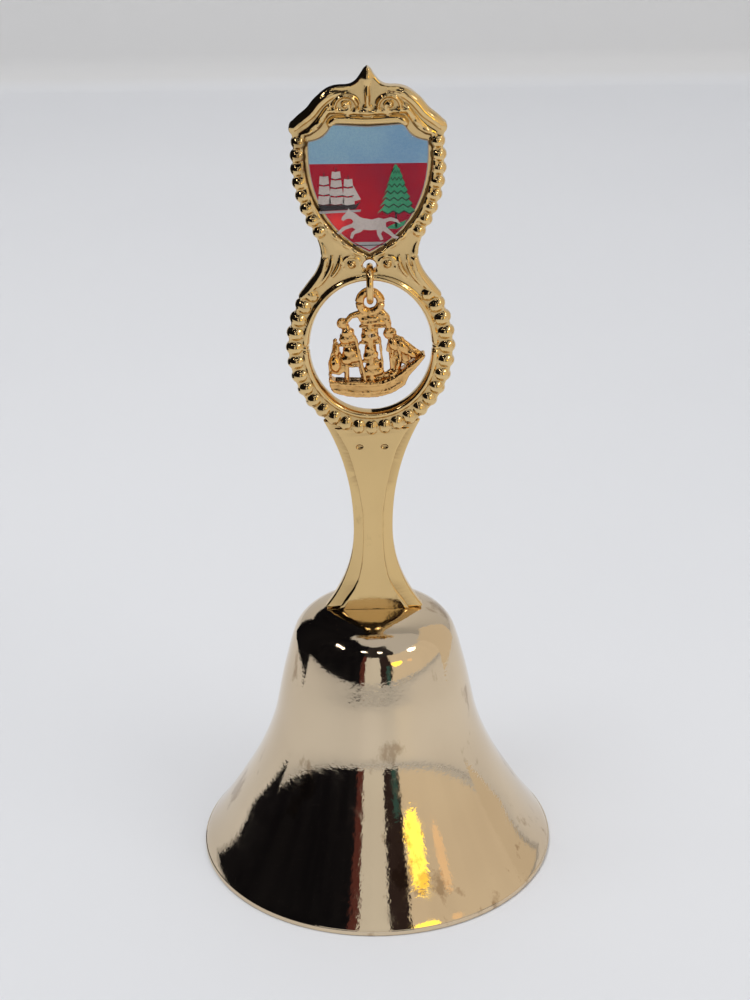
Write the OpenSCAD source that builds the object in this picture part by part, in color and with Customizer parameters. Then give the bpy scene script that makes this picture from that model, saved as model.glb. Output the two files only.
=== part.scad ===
// Small hand bell: a spun metal cup under a flat cast handle. The handle holds a shield emblem
// under a clear dome, and a ship charm hangs in its ring. A clapper hangs under the crown.
// Origin: centre of the mouth, on the surface that the bell stands on. +Z is up and the
// emblem faces -Y. All sizes are in millimetres.

/* [Cup] */
// Outside diameter of the mouth
mouth_d = 51; // [48:0.5:54]
// Height of the cup from the mouth to the crown
cup_h = 38.2; // [37:0.1:40]
// Thickness of the spun wall
wall_t = 1; // [0.8:0.1:1.2]
// Height of the narrow band round the mouth
lip_h = 0.8; // [0.6:0.1:1]
// Radius of the flat top of the crown
crown_flat_r = 5; // [4.5:0.1:6]

/* [Handle] */
// Thickness of the flat casting
plate_t = 2.4; // [2.2:0.1:2.6]
// Thickness of the raised panel along the stem
panel_t = 3.2; // [3:0.1:3.6]
// Thickness through a row of beads
bead_t = 2.9; // [2.7:0.1:3.2]
// Radius of one bead
bead_r = 0.85; // [0.7:0.05:0.85]
// Number of beads round the ring
ring_beads = 27; // [21:2:31]
// Number of beads down each side of the shield
side_beads = 8; // [6:1:9]
// Half width of the ring's opening
open_rx = 8.1; // [8.05:0.05:8.4]
// Half height of the ring's opening
open_rz = 9.2; // [9.1:0.05:9.4]
// Radius of the hole that the jump ring passes through
web_hole_r = 0.9; // [0.85:0.05:1]

/* [Emblem] */
// Depth of the recess that holds the emblem
recess_d = 0.7; // [0.5:0.1:0.9]
// Thickness of the printed plate
emblem_t = 0.3; // [0.2:0.05:0.4]
// Height of the clear dome at its middle
dome_h = 0.9; // [0.7:0.1:1.1]

/* [Charm] */
// Thickness of the wire of the jump ring
jump_wire_d = 0.95; // [0.8:0.05:1]
// Inside radius of the jump ring
jump_r = 1.8; // [1.8:0.02:1.86]
// Thickness of the sails and of the charm's loop
sail_t = 1.2; // [1:0.1:1.2]
// Thickness of the ship's hull
hull_t = 2.2; // [1.6:0.1:2.4]

/* [Clapper] */
// Radius of the clapper's ball
ball_r = 4; // [3:0.1:4.2]
// Height of the ball's centre above the mouth
ball_z = 7.4; // [6.5:0.1:9]
// Radius of the eye bolt's shank, to the crests of its thread
bolt_r = 0.98; // [0.9:0.01:0.98]
// Distance across the flats of the nut
nut_af = 4; // [3.6:0.1:4.5]

/* [Hidden] */
$fn = 48;
cut = 0.02;                   // how far a cutting shape runs past the face that it cuts
gap = 0.06;                   // gap between a ring and the wire or web that it hangs on

// Handle, with heights measured up from the crown
ring_z = 38.8;                // centre of the ring's opening
hole_z = 50.1;                // centre of the jump ring's hole
lip_w = 1;                    // width of the moulding round the opening
bead_rx = open_rx + 2.4;      // half axes of the oval that the ring's beads lie on
bead_rz = open_rz + 2.8;
side_arc_r = 17;              // the beads down a side lie on an arc of this radius
side_arc = [-7.75, 63.9];     // and round this centre
bead_pitch = 1.75;            // from one bead of the side row to the next
tapped_r = 1;                 // tapped hole in the foot
tapped_depth = 7;

// Emblem
recess_floor_y = -plate_t / 2 + recess_d;
emblem_gap = 0.5;             // border between the emblem and the edge of its recess
emblem_drop = 0.9;            // how much wider that border is along the top
dome_r = 80;                  // the dome is a piece of a sphere of this radius
dome_reach = 12;              // from the dome's middle past its furthest corner
dome_mid_z = 60.5;            // height of the dome's middle

// Charm
jump_wire_r = jump_wire_d / 2;
jump_mid_r = jump_r + jump_wire_r;
jump_z = cup_h + hole_z - web_hole_r + gap - jump_r;
loop_hole_r = 0.77;
loop_r = 2;
loop_z = jump_z - jump_r + gap - loop_hole_r;

// Clapper, from the crown down
crown_hole_r = 1.1;
washer_r = 4;
washer_t = 0.5;
washer_z = cup_h - wall_t - washer_t;
nut_t = 1.6;
nut_z = washer_z - nut_t;
bolt_wire_r = 0.8;
bolt_eye_r = 2;
bolt_eye_z = nut_z - 0.6 - bolt_eye_r - bolt_wire_r;
link_wire_r = 0.45;
link_r = 2.4;
link_z = bolt_eye_z - bolt_eye_r + bolt_wire_r + gap + link_wire_r - link_r;
wire_r = 0.5;
wire_eye_r = 1.5;
wire_eye_z = link_z - link_r + link_wire_r + gap + wire_r - wire_eye_r;
wire_in_ball = 1.4;           // how far the wire reaches past the ball's centre

// Points along a cubic Bezier curve, its two ends included
function bezier(p, steps) = [for (i = [0:steps]) let (t = i / steps, u = 1 - t)
    u * u * u * p[0] + 3 * u * u * t * p[1] + 3 * u * t * t * p[2] + t * t * t * p[3]];

// Points round an oval, and points along an arc
function oval(rx, rz, z, steps = 60) =
    [for (i = [0:steps - 1]) [rx * cos(360 * i / steps), z + rz * sin(360 * i / steps)]];
function arc(centre, r, from, to, steps) =
    [for (i = [0:steps]) let (a = from + (to - from) * i / steps) centre + r * [cos(a), sin(a)]];

// A list in reverse, and a full outline from its right half listed from top to bottom
function backwards(p) = [for (i = [len(p) - 1:-1:0]) p[i]];
function both_sides(p) = concat(p, [for (q = backwards(p)) [-q[0], q[1]]]);

// The cup's outside from the lip band up to the crown, as [radius, height]
function cup_side(shrink) = let (r = mouth_d / 2, h = cup_h - shrink, side = concat(
    bezier([[r, lip_h], [r - 2.1, 3.2], [r - 4.3, 7], [r - 6.1, 10]], 6),
    bezier([[r - 6.2, 10.2], [r - 7.9, 13], [15, 18.2], [14.1, 23]], 10),
    bezier([[14.05, 23.3], [13.5, 26.2], [12.6, 32.6], [11.3, cup_h - 3.4]], 6)))
    concat([for (q = side) [q[0] - shrink, q[1] - shrink * q[1] / cup_h]],
        bezier([[11.2 - shrink, h - 3.2], [10.4 - shrink, h - 1.9], [8.4, h - 0.2], [crown_flat_r, h]], 6));

// Outlines of the handle, right half from top to bottom
function frame_half() = concat(
    bezier([[0, 76.1], [1, 75.4], [1.1, 73.8], [2.8, 73.7]], 5),
    bezier([[2.9, 73.7], [6.6, 73.9], [6.6, 70.9], [9.3, 69.4]], 7),
    arc([9.25, 68.4], 0.85, 70, -55, 5),
    arc(side_arc, side_arc_r, 9, -33, 7),
    bezier([[6.5, 54.2], [5.8, 52.4], [5.6, 49.8], [9.3, 45.7]], 7),
    [[6, 42]]);
function stem_half(width, top) = [for (q = concat(
    bezier([[6.6, 28.3], [3.9, 23.3], [2.7, 18.3], [2.7, 12.2]], 8),
    bezier([[2.7, 12], [2.7, 7.6], [4.1, 3.6], [6.9, 0.2]], 8),
    [[6.9, 0]])) if (q[1] <= top) [q[0] * width, q[1]]];
function shield_half(border, drop = 0) = concat(
    [[0, 70 - border - drop], [4.8 - border / 2, 70.3 - border - drop]],
    bezier([[5.5 - border, 69.4 - border / 2 - drop], [6.1 - border, 68.2 - border / 2 - drop * 0.8],
            [6.9 - border, 67.7 - border / 2 - drop * 0.6], [8.1 - border, 67.4 - border / 2 - drop * 0.5]], 4),
    bezier([[8.2 - border, 66.4], [8.5 - border, 60.8], [6.6 - border, 54.6 + border / 2],
            [0, 51.5 + border]], 8));

// Extrudes an outline in X and Z, centred on y
module plate(outline, thickness, y = 0) {
    translate([0, y, 0]) rotate([90, 0, 0])
        linear_extrude(height = thickness, center = true) polygon(outline);
}

// Round bar from front to back at a place in X and Z
module bar_y(place, r, length) {
    translate([place[0], 0, place[1]]) rotate([90, 0, 0]) cylinder(r = r, h = length, center = true);
}

// Ring of round wire about the Y axis, or about the X axis
module wire_ring(r, wire, about_x = false) {
    rotate(about_x ? [0, 90, 0] : [90, 0, 0]) rotate_extrude() translate([r, 0]) circle(r = wire);
}

// Hole from front to back that widens towards both faces
module waisted_hole(place, r, face_r, neck_y, face_y) {
    bar_y(place, r, 2 * face_y + 1);
    for (side = [0, 1]) mirror([0, side, 0]) translate([place[0], neck_y, place[1]])
        rotate([-90, 0, 0]) cylinder(r1 = r, r2 = face_r, h = face_y - neck_y);
}

// Spun cup: open below, flat on top, with a hole for the eye bolt
module bell_shell() {
    outside = concat([[mouth_d / 2, 0]], cup_side(0), [[0, cup_h]]);
    inside = concat([[0, cup_h - wall_t]], backwards(cup_side(wall_t)), [[mouth_d / 2 - wall_t, 0]]);
    color("#cdbf9a") difference() {
        rotate_extrude($fn = 96) polygon(concat(outside, inside));
        translate([0, 0, cup_h - 2 * wall_t]) cylinder(r = crown_hole_r, h = 3 * wall_t);
    }
}

// Beads round the ring and down both sides of the shield
module handle_beads() {
    for (i = [0:ring_beads - 1]) let (a = 40 - 260 * i / (ring_beads - 1))
        bar_y([bead_rx * cos(a), ring_z + bead_rz * sin(a)], bead_r, bead_t);
    for (side = [-1, 1], i = [0:side_beads - 1])
        let (a = 8.8 - i * bead_pitch / side_arc_r * 180 / PI)
        bar_y([side * (side_arc[0] + side_arc_r * cos(a)), side_arc[1] + side_arc_r * sin(a)],
              bead_r, bead_t);
}

// Cast handle: shield frame, ring, stem and foot in one piece
module handle() {
    color("#d9ad52") translate([0, 0, cup_h]) difference() {
        union() {
            plate(both_sides(frame_half()), plate_t);
            plate(oval(bead_rx, bead_rz, ring_z), plate_t);
            plate(oval(open_rx + lip_w, open_rz + lip_w, ring_z), plate_t + 0.2);
            plate(both_sides(stem_half(1, 29)), plate_t);
            plate(both_sides(stem_half(0.7, 25.5)), panel_t);
            handle_beads();
        }
        plate(oval(open_rx, open_rz, ring_z), 2 * panel_t);
        plate(both_sides(shield_half(0)), recess_d, recess_floor_y - recess_d / 2);
        plate(both_sides(shield_half(0)), 0.8, plate_t / 2);
        waisted_hole([0, hole_z], web_hole_r, 1.6, 0.6, 1.5);
        translate([0, 0, -cut]) cylinder(r = tapped_r, h = tapped_depth);
    }
}

// Printed plate in the recess
module emblem_plate() {
    color("#3f4f9a") translate([0, 0, cup_h])
        plate(both_sides(shield_half(emblem_gap, emblem_drop)), emblem_t, recess_floor_y - emblem_t / 2);
}

// Clear dome over the printed plate: its front is part of a sphere, turned from its profile
module emblem_dome() {
    back_y = recess_floor_y - emblem_t;
    crown = dome_h - dome_r;
    profile = concat([[0, -1], [dome_reach, -1]],
        [for (r = [dome_reach:-1.5:0]) [r, crown + sqrt(dome_r * dome_r - r * r)]]);
    color("#dfe8f4") translate([0, 0, cup_h]) intersection() {
        plate(both_sides(shield_half(emblem_gap, emblem_drop)), 2, back_y - 1);
        translate([0, back_y, dome_mid_z]) rotate([90, 0, 0]) rotate_extrude($fn = 96) polygon(profile);
    }
}

// Jump ring through the handle and the charm's loop
module charm_jump_ring() {
    color("#e0b860") translate([0, 0, jump_z]) wire_ring(jump_mid_r, jump_wire_r, about_x = true);
}

// A square sail that narrows upwards, and a round bar in the charm's plane
module sail(x, z, top, foot, height) {
    plate([[x - foot / 2, z], [x + foot / 2, z], [x + top / 2, z + height], [x - top / 2, z + height]],
          sail_t);
}
module spar(x, z, width, height) {
    plate([[x, z], [x + width, z], [x + width, z + height], [x, z + height]], 0.8 * sail_t);
}

// Ship charm, with places measured from the centre of its loop
module ship_charm() {
    hull = concat([[-5.75, -10.2], [-5.55, -11.6]],
                  bezier([[-5.15, -12.5], [-3, -13.5], [2.6, -13.9], [4.6, -11.4]], 8),
                  [[5.3, -9.8], [7.4, -7.6], [7.1, -7], [5, -8.6], [3.2, -10.2], [0.5, -11], [-5, -10.9]]);
    color("#c08f45") translate([0, 0, loop_z]) difference() {
        union() {
            bar_y([0, 0], loop_r, sail_t);
            plate(hull, hull_t);
            // mizzen mast with two sails, a top and the pointed sail at the stern
            bar_y([-3.7, -3], 0.9, sail_t);
            sail(-3, -5.9, 1.5, 2.3, 2.4);
            sail(-2.7, -8.7, 1.7, 2.6, 2.6);
            spar(-3.7, -11.4, 0.7, 9);
            plate([[-4.9, -5.2], [-4.5, -5.3], [-3.1, -10], [-5.9, -9.6], [-5.7, -8.6]], sail_t);
            // main mast with three sails
            sail(0.5, -3.3, 3.2, 3.6, 1.7);
            sail(0, -5.6, 2.1, 2.5, 2.1);
            sail(0.4, -10.6, 1.6, 2.9, 3.1);
            spar(-0.6, -11.4, 1.2, 10);
            // fore mast with its top, and the sails that run out to the bowsprit
            bar_y([2.5, -4.4], 0.95, sail_t);
            plate([[2.2, -5.2], [4.3, -5], [6.9, -7.5], [4.6, -9], [2.1, -6.9]], sail_t);
            plate([[2.9, -7.3], [4.3, -8.2], [3.7, -10.4], [1.9, -10.7]], sail_t);
            // braces that tie the masts together
            plate([[-3.4, -3.1], [-2.2, -1.3], [-1, -1.5], [-2.7, -4.2]], 0.8 * sail_t);
            plate([[1.7, -1.4], [2.4, -2], [2.9, -3.8], [1.6, -3.9]], 0.8 * sail_t);
        }
        waisted_hole([0, 0], loop_hole_r, 0.95, 0, 0.7);
    }
}

// Washer under the crown
module crown_washer() {
    color("#b9b9b4") translate([0, 0, washer_z]) difference() {
        cylinder(r = washer_r, h = washer_t);
        translate([0, 0, -1]) cylinder(r = crown_hole_r, h = 3);
    }
}

// Nut that clamps the cup and the washer against the handle
module crown_nut() {
    color("#c9c7bd") translate([0, 0, nut_z]) difference() {
        cylinder(r = nut_af / sqrt(3), h = nut_t, $fn = 6);
        translate([0, 0, -1]) cylinder(r = tapped_r, h = 4);
    }
}

// Eye bolt: threaded up into the handle, with its eye below the nut
module clapper_eye_bolt() {
    eye_top = bolt_eye_z + bolt_eye_r;
    color("#b7b29f") union() {
        translate([0, 0, eye_top]) cylinder(r = bolt_r, h = cup_h + tapped_depth - 0.6 - eye_top);
        translate([0, 0, bolt_eye_z]) wire_ring(bolt_eye_r, bolt_wire_r);
    }
}

// Link between the eye bolt and the clapper
module clapper_link() {
    color("#c2bfb2") translate([0, 0, link_z]) wire_ring(link_r, link_wire_r, about_x = true);
}

// Wire of the clapper, with an eye at its top
module clapper_wire() {
    foot_z = ball_z - wire_in_ball;
    color("#b7b29f") union() {
        translate([0, 0, wire_eye_z]) wire_ring(wire_eye_r, wire_r);
        translate([0, 0, foot_z]) cylinder(r = wire_r, h = wire_eye_z - wire_eye_r - foot_z);
    }
}

// Ball of the clapper, drilled for the wire
module clapper_ball() {
    color("#c8b070") difference() {
        translate([0, 0, ball_z]) sphere(r = ball_r);
        translate([0, 0, ball_z - wire_in_ball]) cylinder(r = wire_r, h = 2 * ball_r);
    }
}

bell_shell();
handle();
emblem_plate();
emblem_dome();
charm_jump_ring();
ship_charm();
crown_washer();
crown_nut();
clapper_eye_bolt();
clapper_link();
clapper_wire();
clapper_ball();
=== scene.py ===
"""Looks of a small souvenir hand bell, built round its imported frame.

The frame gives every node's place in metres. Pieces are shaped here in millimetres, with heights
of the handle counted up from the crown, and each is scaled to metres when it is finished.
"""

from __future__ import annotations

import logging
import math
from dataclasses import dataclass, field
from enum import Enum
from typing import Iterable, Sequence

import bpy
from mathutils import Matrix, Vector


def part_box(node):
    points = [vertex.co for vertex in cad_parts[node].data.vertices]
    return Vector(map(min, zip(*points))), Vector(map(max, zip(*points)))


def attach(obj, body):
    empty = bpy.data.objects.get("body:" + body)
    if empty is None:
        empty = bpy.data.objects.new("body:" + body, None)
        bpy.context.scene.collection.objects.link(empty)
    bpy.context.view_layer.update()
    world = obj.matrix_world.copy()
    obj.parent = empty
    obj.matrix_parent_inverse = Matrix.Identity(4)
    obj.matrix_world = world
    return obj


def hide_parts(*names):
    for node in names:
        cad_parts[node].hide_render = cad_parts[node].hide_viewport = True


log = logging.getLogger("bell")
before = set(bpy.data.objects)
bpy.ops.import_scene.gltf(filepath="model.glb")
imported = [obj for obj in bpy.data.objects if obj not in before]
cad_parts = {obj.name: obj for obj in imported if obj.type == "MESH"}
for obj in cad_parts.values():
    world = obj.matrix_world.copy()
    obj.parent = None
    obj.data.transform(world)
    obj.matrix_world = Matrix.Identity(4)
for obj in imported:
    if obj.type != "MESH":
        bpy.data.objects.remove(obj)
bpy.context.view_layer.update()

MM = 0.001
SHARP_ANGLE = math.radians(18)
Point2 = tuple[float, float]
Point3 = tuple[float, float, float]
Object = bpy.types.Object
Material = bpy.types.Material


class Slot(Enum):
    """The record's material slots."""

    CUP = "cup_plate"
    HANDLE = "handle_plate"
    CHARM = "charm_plate"
    PRINT = "printed_foil"
    RESIN = "clear_resin"
    FIXING = "zinc_steel"
    BALL = "ball_plate"


# ---------------------------------------------------------------- curves and outlines


def bezier(p: Sequence[Point2], steps: int) -> list[Point2]:
    """Points along a cubic Bezier curve, both ends included.

    Args:
        p: The four control points.
        steps: How many stretches the curve is cut into.

    Returns:
        The points, from the first control point to the last.
    """
    out = []
    for i in range(steps + 1):
        t = i / steps
        u = 1 - t
        w = (u * u * u, 3 * u * u * t, 3 * u * t * t, t * t * t)
        out.append((sum(a * q[0] for a, q in zip(w, p)), sum(a * q[1] for a, q in zip(w, p))))
    return out


def arc(centre: Point2, r: float, start: float, end: float, steps: int) -> list[Point2]:
    """Points along an arc, its angles in degrees from the X axis."""
    angles = [math.radians(start + (end - start) * i / steps) for i in range(steps + 1)]
    return [(centre[0] + r * math.cos(a), centre[1] + r * math.sin(a)) for a in angles]


def oval(rx: float, rz: float, z: float, steps: int = 96) -> list[Point2]:
    """Points round an upright oval centred on x = 0."""
    turn = [2 * math.pi * i / steps for i in range(steps)]
    return [(rx * math.cos(a), z + rz * math.sin(a)) for a in turn]


def both_sides(half: Sequence[Point2]) -> list[Point2]:
    """A full outline from its right half, listed from top to bottom."""
    left = [(-x, z) for x, z in reversed(half) if x > 1e-6]
    return list(half) + left


def smooth_path(knots: Sequence[Sequence[float]], per_span: int = 6) -> list[tuple[float, ...]]:
    """A smooth run of points through given knots, each of any number of values.

    Args:
        knots: The knots, such as (x, z, radius).
        per_span: Points made between one knot and the next.

    Returns:
        Points of as many values as the knots have.
    """
    k = [knots[0], *knots, knots[-1]]
    out = []
    for a, b, c, d in zip(k, k[1:], k[2:], k[3:]):
        for i in range(per_span):
            t = i / per_span
            out.append(tuple(
                0.5 * (2 * q + (r - p) * t + (2 * p - 5 * q + 4 * r - s) * t * t
                       + (3 * q - p - 3 * r + s) * t * t * t)
                for p, q, r, s in zip(a, b, c, d)))
    out.append(tuple(float(v) for v in knots[-1]))
    return out


# ---------------------------------------------------------------- mesh work


def clear_selection() -> None:
    """Leave edit mode and select nothing."""
    if bpy.context.object is not None and bpy.context.object.mode != "OBJECT":
        bpy.ops.object.mode_set(mode="OBJECT")
    bpy.ops.object.select_all(action="DESELECT")


def take(obj: Object) -> Object:
    """Make an object the only selected one, and the active one."""
    clear_selection()
    obj.select_set(True)
    bpy.context.view_layer.objects.active = obj
    return obj


def edit_all(obj: Object) -> None:
    """Open an object in edit mode with all of its mesh selected."""
    take(obj)
    bpy.ops.object.mode_set(mode="EDIT")
    bpy.ops.mesh.select_all(action="SELECT")


def face_outwards(obj: Object) -> Object:
    """Merge doubled vertices and turn every face of a closed mesh outwards."""
    edit_all(obj)
    bpy.ops.mesh.remove_doubles(threshold=1e-5)
    bpy.ops.mesh.normals_make_consistent(inside=False)
    bpy.ops.object.mode_set(mode="OBJECT")
    return obj


def apply_modifier(obj: Object, kind: str, **settings: object) -> Object:
    """Give an object a modifier and apply it.

    Args:
        obj: The object.
        kind: The modifier's type, such as BEVEL.
        **settings: Values set on the modifier.

    Returns:
        The object.
    """
    take(obj)
    modifier = obj.modifiers.new(kind.lower(), kind)
    for key, value in settings.items():
        setattr(modifier, key, value)
    bpy.ops.object.modifier_apply(modifier=modifier.name)
    return obj


def flat_loop(name: str, outline: Sequence[Point2], y: float) -> Object:
    """One flat face in the XZ plane, from a circle whose points are moved onto an outline.

    Args:
        name: The new object's name.
        outline: Points of the outline, once round.
        y: Where the face lies.

    Returns:
        The new object.
    """
    clear_selection()
    bpy.ops.mesh.primitive_circle_add(vertices=len(outline), radius=1, fill_type="NGON")
    obj = bpy.context.object
    obj.name = name
    for vertex, (x, z) in zip(obj.data.vertices, outline):
        vertex.co = (x, y, z)
    return obj


def plate(name: str, outline: Sequence[Point2], front: float, back: float,
          soft: float = 0.0, segments: int = 3) -> Object:
    """A closed plate cut to an outline, its long edges rounded.

    Args:
        name: The new object's name.
        outline: Points of the outline, once round.
        front: The front face's y.
        back: The back face's y.
        soft: How far the edges are rounded.
        segments: Faces across a rounded edge.

    Returns:
        The new object.
    """
    obj = flat_loop(name, outline, front)
    edit_all(obj)
    bpy.ops.mesh.extrude_region_move(TRANSFORM_OT_translate={"value": (0, back - front, 0)})
    bpy.ops.object.mode_set(mode="OBJECT")
    face_outwards(obj)
    if soft:
        apply_modifier(obj, "BEVEL", width=soft, segments=segments, limit_method="ANGLE",
                       angle_limit=math.radians(50), use_clamp_overlap=True)
    return obj


def tube(name: str, path: Sequence[Sequence[float]], y: float = 0.0, deep: float = 1.0,
         closed: bool = False, fine: int = 4) -> Object:
    """A round bar along a path in the XZ plane, closed at its ends by round caps.

    Args:
        name: The new object's name.
        path: (x, z, radius) along the path.
        y: Depth of the path.
        deep: How many times deeper than wide the bar is.
        closed: True if the path runs back to its start.
        fine: Resolution of the bar's section.

    Returns:
        The new object, as a mesh.
    """
    points = [(Vector((p[0], 0, p[1])), p[2]) for p in path]
    if not closed:
        points = round_ends(points)
    clear_selection()
    bpy.ops.curve.primitive_bezier_curve_add()
    obj = bpy.context.object
    obj.name = name
    curve = obj.data
    curve.splines.clear()
    curve.dimensions = "3D"
    curve.twist_mode = "Z_UP"
    curve.bevel_depth = 1.0
    curve.bevel_resolution = fine
    curve.use_fill_caps = not closed
    spline = curve.splines.new("POLY")
    spline.points.add(len(points) - 1)
    spline.use_cyclic_u = closed
    for target, (place, radius) in zip(spline.points, points):
        target.co = (*place, 1)
        target.radius = radius
    bpy.ops.object.convert(target="MESH")
    for vertex in obj.data.vertices:
        vertex.co.y = y + vertex.co.y * deep
    return face_outwards(obj)


def round_ends(points: list[tuple[Vector, float]]) -> list[tuple[Vector, float]]:
    """Carry a bar past both ends by its radius, narrowing as a half ball does.

    Args:
        points: Place and radius along the bar.

    Returns:
        The longer list.
    """
    def cap(end: tuple[Vector, float], inner: tuple[Vector, float]) -> list[tuple[Vector, float]]:
        """The narrowing points past one end."""
        way = (end[0] - inner[0]).normalized()
        angles = [math.radians(a) for a in (25, 50, 70, 87)]
        return [(end[0] + way * end[1] * math.sin(a), end[1] * math.cos(a)) for a in angles]

    head = cap(points[0], points[1])
    tail = cap(points[-1], points[-2])
    return head[::-1] + points + tail


def ball(name: str, centre: Point3, radii: Point3, segments: int = 20, rings: int = 12,
         lean: float = 0.0) -> Object:
    """An egg-shaped bead.

    Args:
        name: The new object's name.
        centre: Its centre.
        radii: Half its size along X, Y and Z.
        segments: Faces round it.
        rings: Faces from pole to pole.
        lean: How far its X axis is turned up towards Z, in degrees.

    Returns:
        The new object.
    """
    clear_selection()
    bpy.ops.mesh.primitive_uv_sphere_add(segments=segments, ring_count=rings, radius=1)
    obj = bpy.context.object
    obj.name = name
    edit_all(obj)
    bpy.ops.transform.resize(value=radii, center_override=(0, 0, 0))
    bpy.ops.object.mode_set(mode="OBJECT")
    cosine, sine = math.cos(math.radians(lean)), math.sin(math.radians(lean))
    for vertex in obj.data.vertices:
        x, y, z = vertex.co
        vertex.co = (centre[0] + x * cosine - z * sine, centre[1] + y,
                     centre[2] + x * sine + z * cosine)
    return obj


def width_at(line: Sequence[Point2], height: float) -> float:
    """The width of a line of (width, height) points at a height, read between its points."""
    for (a, low), (b, high) in zip(line, line[1:]):
        if low <= height <= high:
            return a + (b - a) * (height - low) / (high - low)
    return line[-1][0]


def loft(name: str, section: Sequence[Point2], widths: Sequence[Point2], depths: Sequence[Point2],
         top: float, steps: int) -> Object:
    """A bar drawn up the Z axis, its section stretched as it rises.

    Args:
        name: The new object's name.
        section: The section, in units of the width and the depth.
        widths: Half widths, each with its height.
        depths: Half depths, each with its height.
        top: Height of the bar's end.
        steps: Rings of faces from end to end.

    Returns:
        The new object.
    """
    clear_selection()
    bpy.ops.mesh.primitive_circle_add(vertices=len(section), radius=1, fill_type="NGON")
    bar = bpy.context.object
    bar.name = name
    wide, deep = width_at(widths, 0), width_at(depths, 0)
    for vertex, (x, y) in zip(bar.data.vertices, section):
        vertex.co = (x * wide, y * deep, 0.0)
    edit_all(bar)
    for i in range(1, steps + 1):
        height = top * i / steps
        new_wide, new_deep = width_at(widths, height), width_at(depths, height)
        bpy.ops.mesh.extrude_region_move(TRANSFORM_OT_translate={"value": (0, 0, top / steps)})
        bpy.ops.transform.resize(value=(new_wide / wide, new_deep / deep, 1),
                                 center_override=(0, 0, height))
        wide, deep = new_wide, new_deep
    bpy.ops.object.mode_set(mode="OBJECT")
    return face_outwards(bar)


def cast_soft(obj: Object, grain: float, softness: int, keep: float) -> Object:
    """Melt overlapping solids into one, with the soft corners of a plated casting.

    Args:
        obj: The solids, joined.
        grain: Size of the cells that it is rebuilt from.
        softness: Rounds of smoothing.
        keep: Share of the faces that is kept.

    Returns:
        The object.
    """
    apply_modifier(obj, "REMESH", mode="VOXEL", voxel_size=grain, adaptivity=0.0)
    apply_modifier(obj, "SMOOTH", factor=0.5, iterations=softness)
    return apply_modifier(obj, "DECIMATE", decimate_type="COLLAPSE", ratio=keep)


def bolt_hole(name: str, x: float, z: float, r: float, half: float) -> Object:
    """A round bar from front to back that cuts a hole."""
    return plate(name, [(x + a, z + b) for a, b in oval(r, r, 0, 40)], -half, half)


def lathe(name: str, section: Sequence[Point2], turns: int = 96) -> Object:
    """A closed section in the XZ plane, turned once round the Z axis.

    Args:
        name: The new object's name.
        section: (radius, height) along the section.
        turns: Faces round the axis.

    Returns:
        The new object.
    """
    obj = flat_loop(name, section, 0.0)
    edit_all(obj)
    bpy.ops.mesh.delete(type="ONLY_FACE")
    bpy.ops.mesh.select_all(action="SELECT")
    bpy.ops.mesh.spin(steps=turns, angle=2 * math.pi, center=(0, 0, 0), axis=(0, 0, 1))
    bpy.ops.mesh.select_all(action="SELECT")
    bpy.ops.mesh.remove_doubles(threshold=0.0002)
    bpy.ops.mesh.delete_loose()
    bpy.ops.object.mode_set(mode="OBJECT")
    return face_outwards(obj)


def seamed_ring(name: str, centre: Vector, r: float, wire_r: float) -> Object:
    """A ring of round wire about the X axis, with the seam where the wire's ends meet.

    Args:
        name: The new object's name.
        centre: Its centre.
        r: Radius of the wire's centreline.
        wire_r: Radius of the wire.

    Returns:
        The new object.
    """
    clear_selection()
    bpy.ops.mesh.primitive_torus_add(major_segments=72, minor_segments=20,
                                     rotation=(0, math.pi / 2, 0),
                                     major_radius=r, minor_radius=wire_r)
    ring = bpy.context.object
    ring.name = name
    bpy.ops.object.transform_apply(location=True, rotation=True, scale=True)
    seam = plate("seam", [(-1, -0.05), (1, -0.05), (1, 0.05), (-1, 0.05)], r + wire_r * 0.4,
                 r + 2 * wire_r)
    combine(ring, [seam], "DIFFERENCE")
    for vertex in ring.data.vertices:
        vertex.co += centre
    return ring


def mirrored(obj: Object) -> Object:
    """A copy of an object on the other side of x = 0, with its own mesh."""
    twin = obj.copy()
    twin.data = obj.data.copy()
    bpy.context.scene.collection.objects.link(twin)
    for vertex in twin.data.vertices:
        vertex.co.x = -vertex.co.x
    return face_outwards(twin)


def both(parts: Sequence[Object]) -> list[Object]:
    """Each solid with its twin on the other side of x = 0."""
    return [solid for part in parts for solid in (part, mirrored(part))]


def join(parts: Sequence[Object]) -> Object:
    """Join objects into the first of them."""
    take(parts[0])
    for part in parts:
        part.select_set(True)
    if len(parts) > 1:
        bpy.ops.object.join()
    return bpy.context.object


def combine(base: Object, parts: Iterable[Object], operation: str = "UNION") -> Object:
    """Merge closed solids into one, or cut them out of it.

    Args:
        base: The solid that is kept.
        parts: Solids that are used up.
        operation: UNION or DIFFERENCE.

    Returns:
        The base.
    """
    for part in parts:
        apply_modifier(base, "BOOLEAN", operation=operation, solver="MANIFOLD", object=part)
        bpy.data.objects.remove(part)
    return base


def lift(obj: Object, height: float) -> Object:
    """Move an object's vertices up the Z axis."""
    for vertex in obj.data.vertices:
        vertex.co.z += height
    return obj


def soften(obj: Object, width: float, segments: int) -> Object:
    """Round the edges of an object that turn by more than SHARP_ANGLE."""
    return apply_modifier(obj, "BEVEL", width=width, segments=segments, limit_method="ANGLE",
                          angle_limit=SHARP_ANGLE, use_clamp_overlap=True)


def swirl(centre: Point2, rx: float, rz: float, wire: float, turns: range,
          growth: float = 0.0) -> list[Point3]:
    """A wire's path round a centre."""
    return [(centre[0] + (rx + growth * a) * math.cos(math.radians(a)),
             centre[1] + (rz + growth * a) * math.sin(math.radians(a)), wire) for a in turns]


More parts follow.
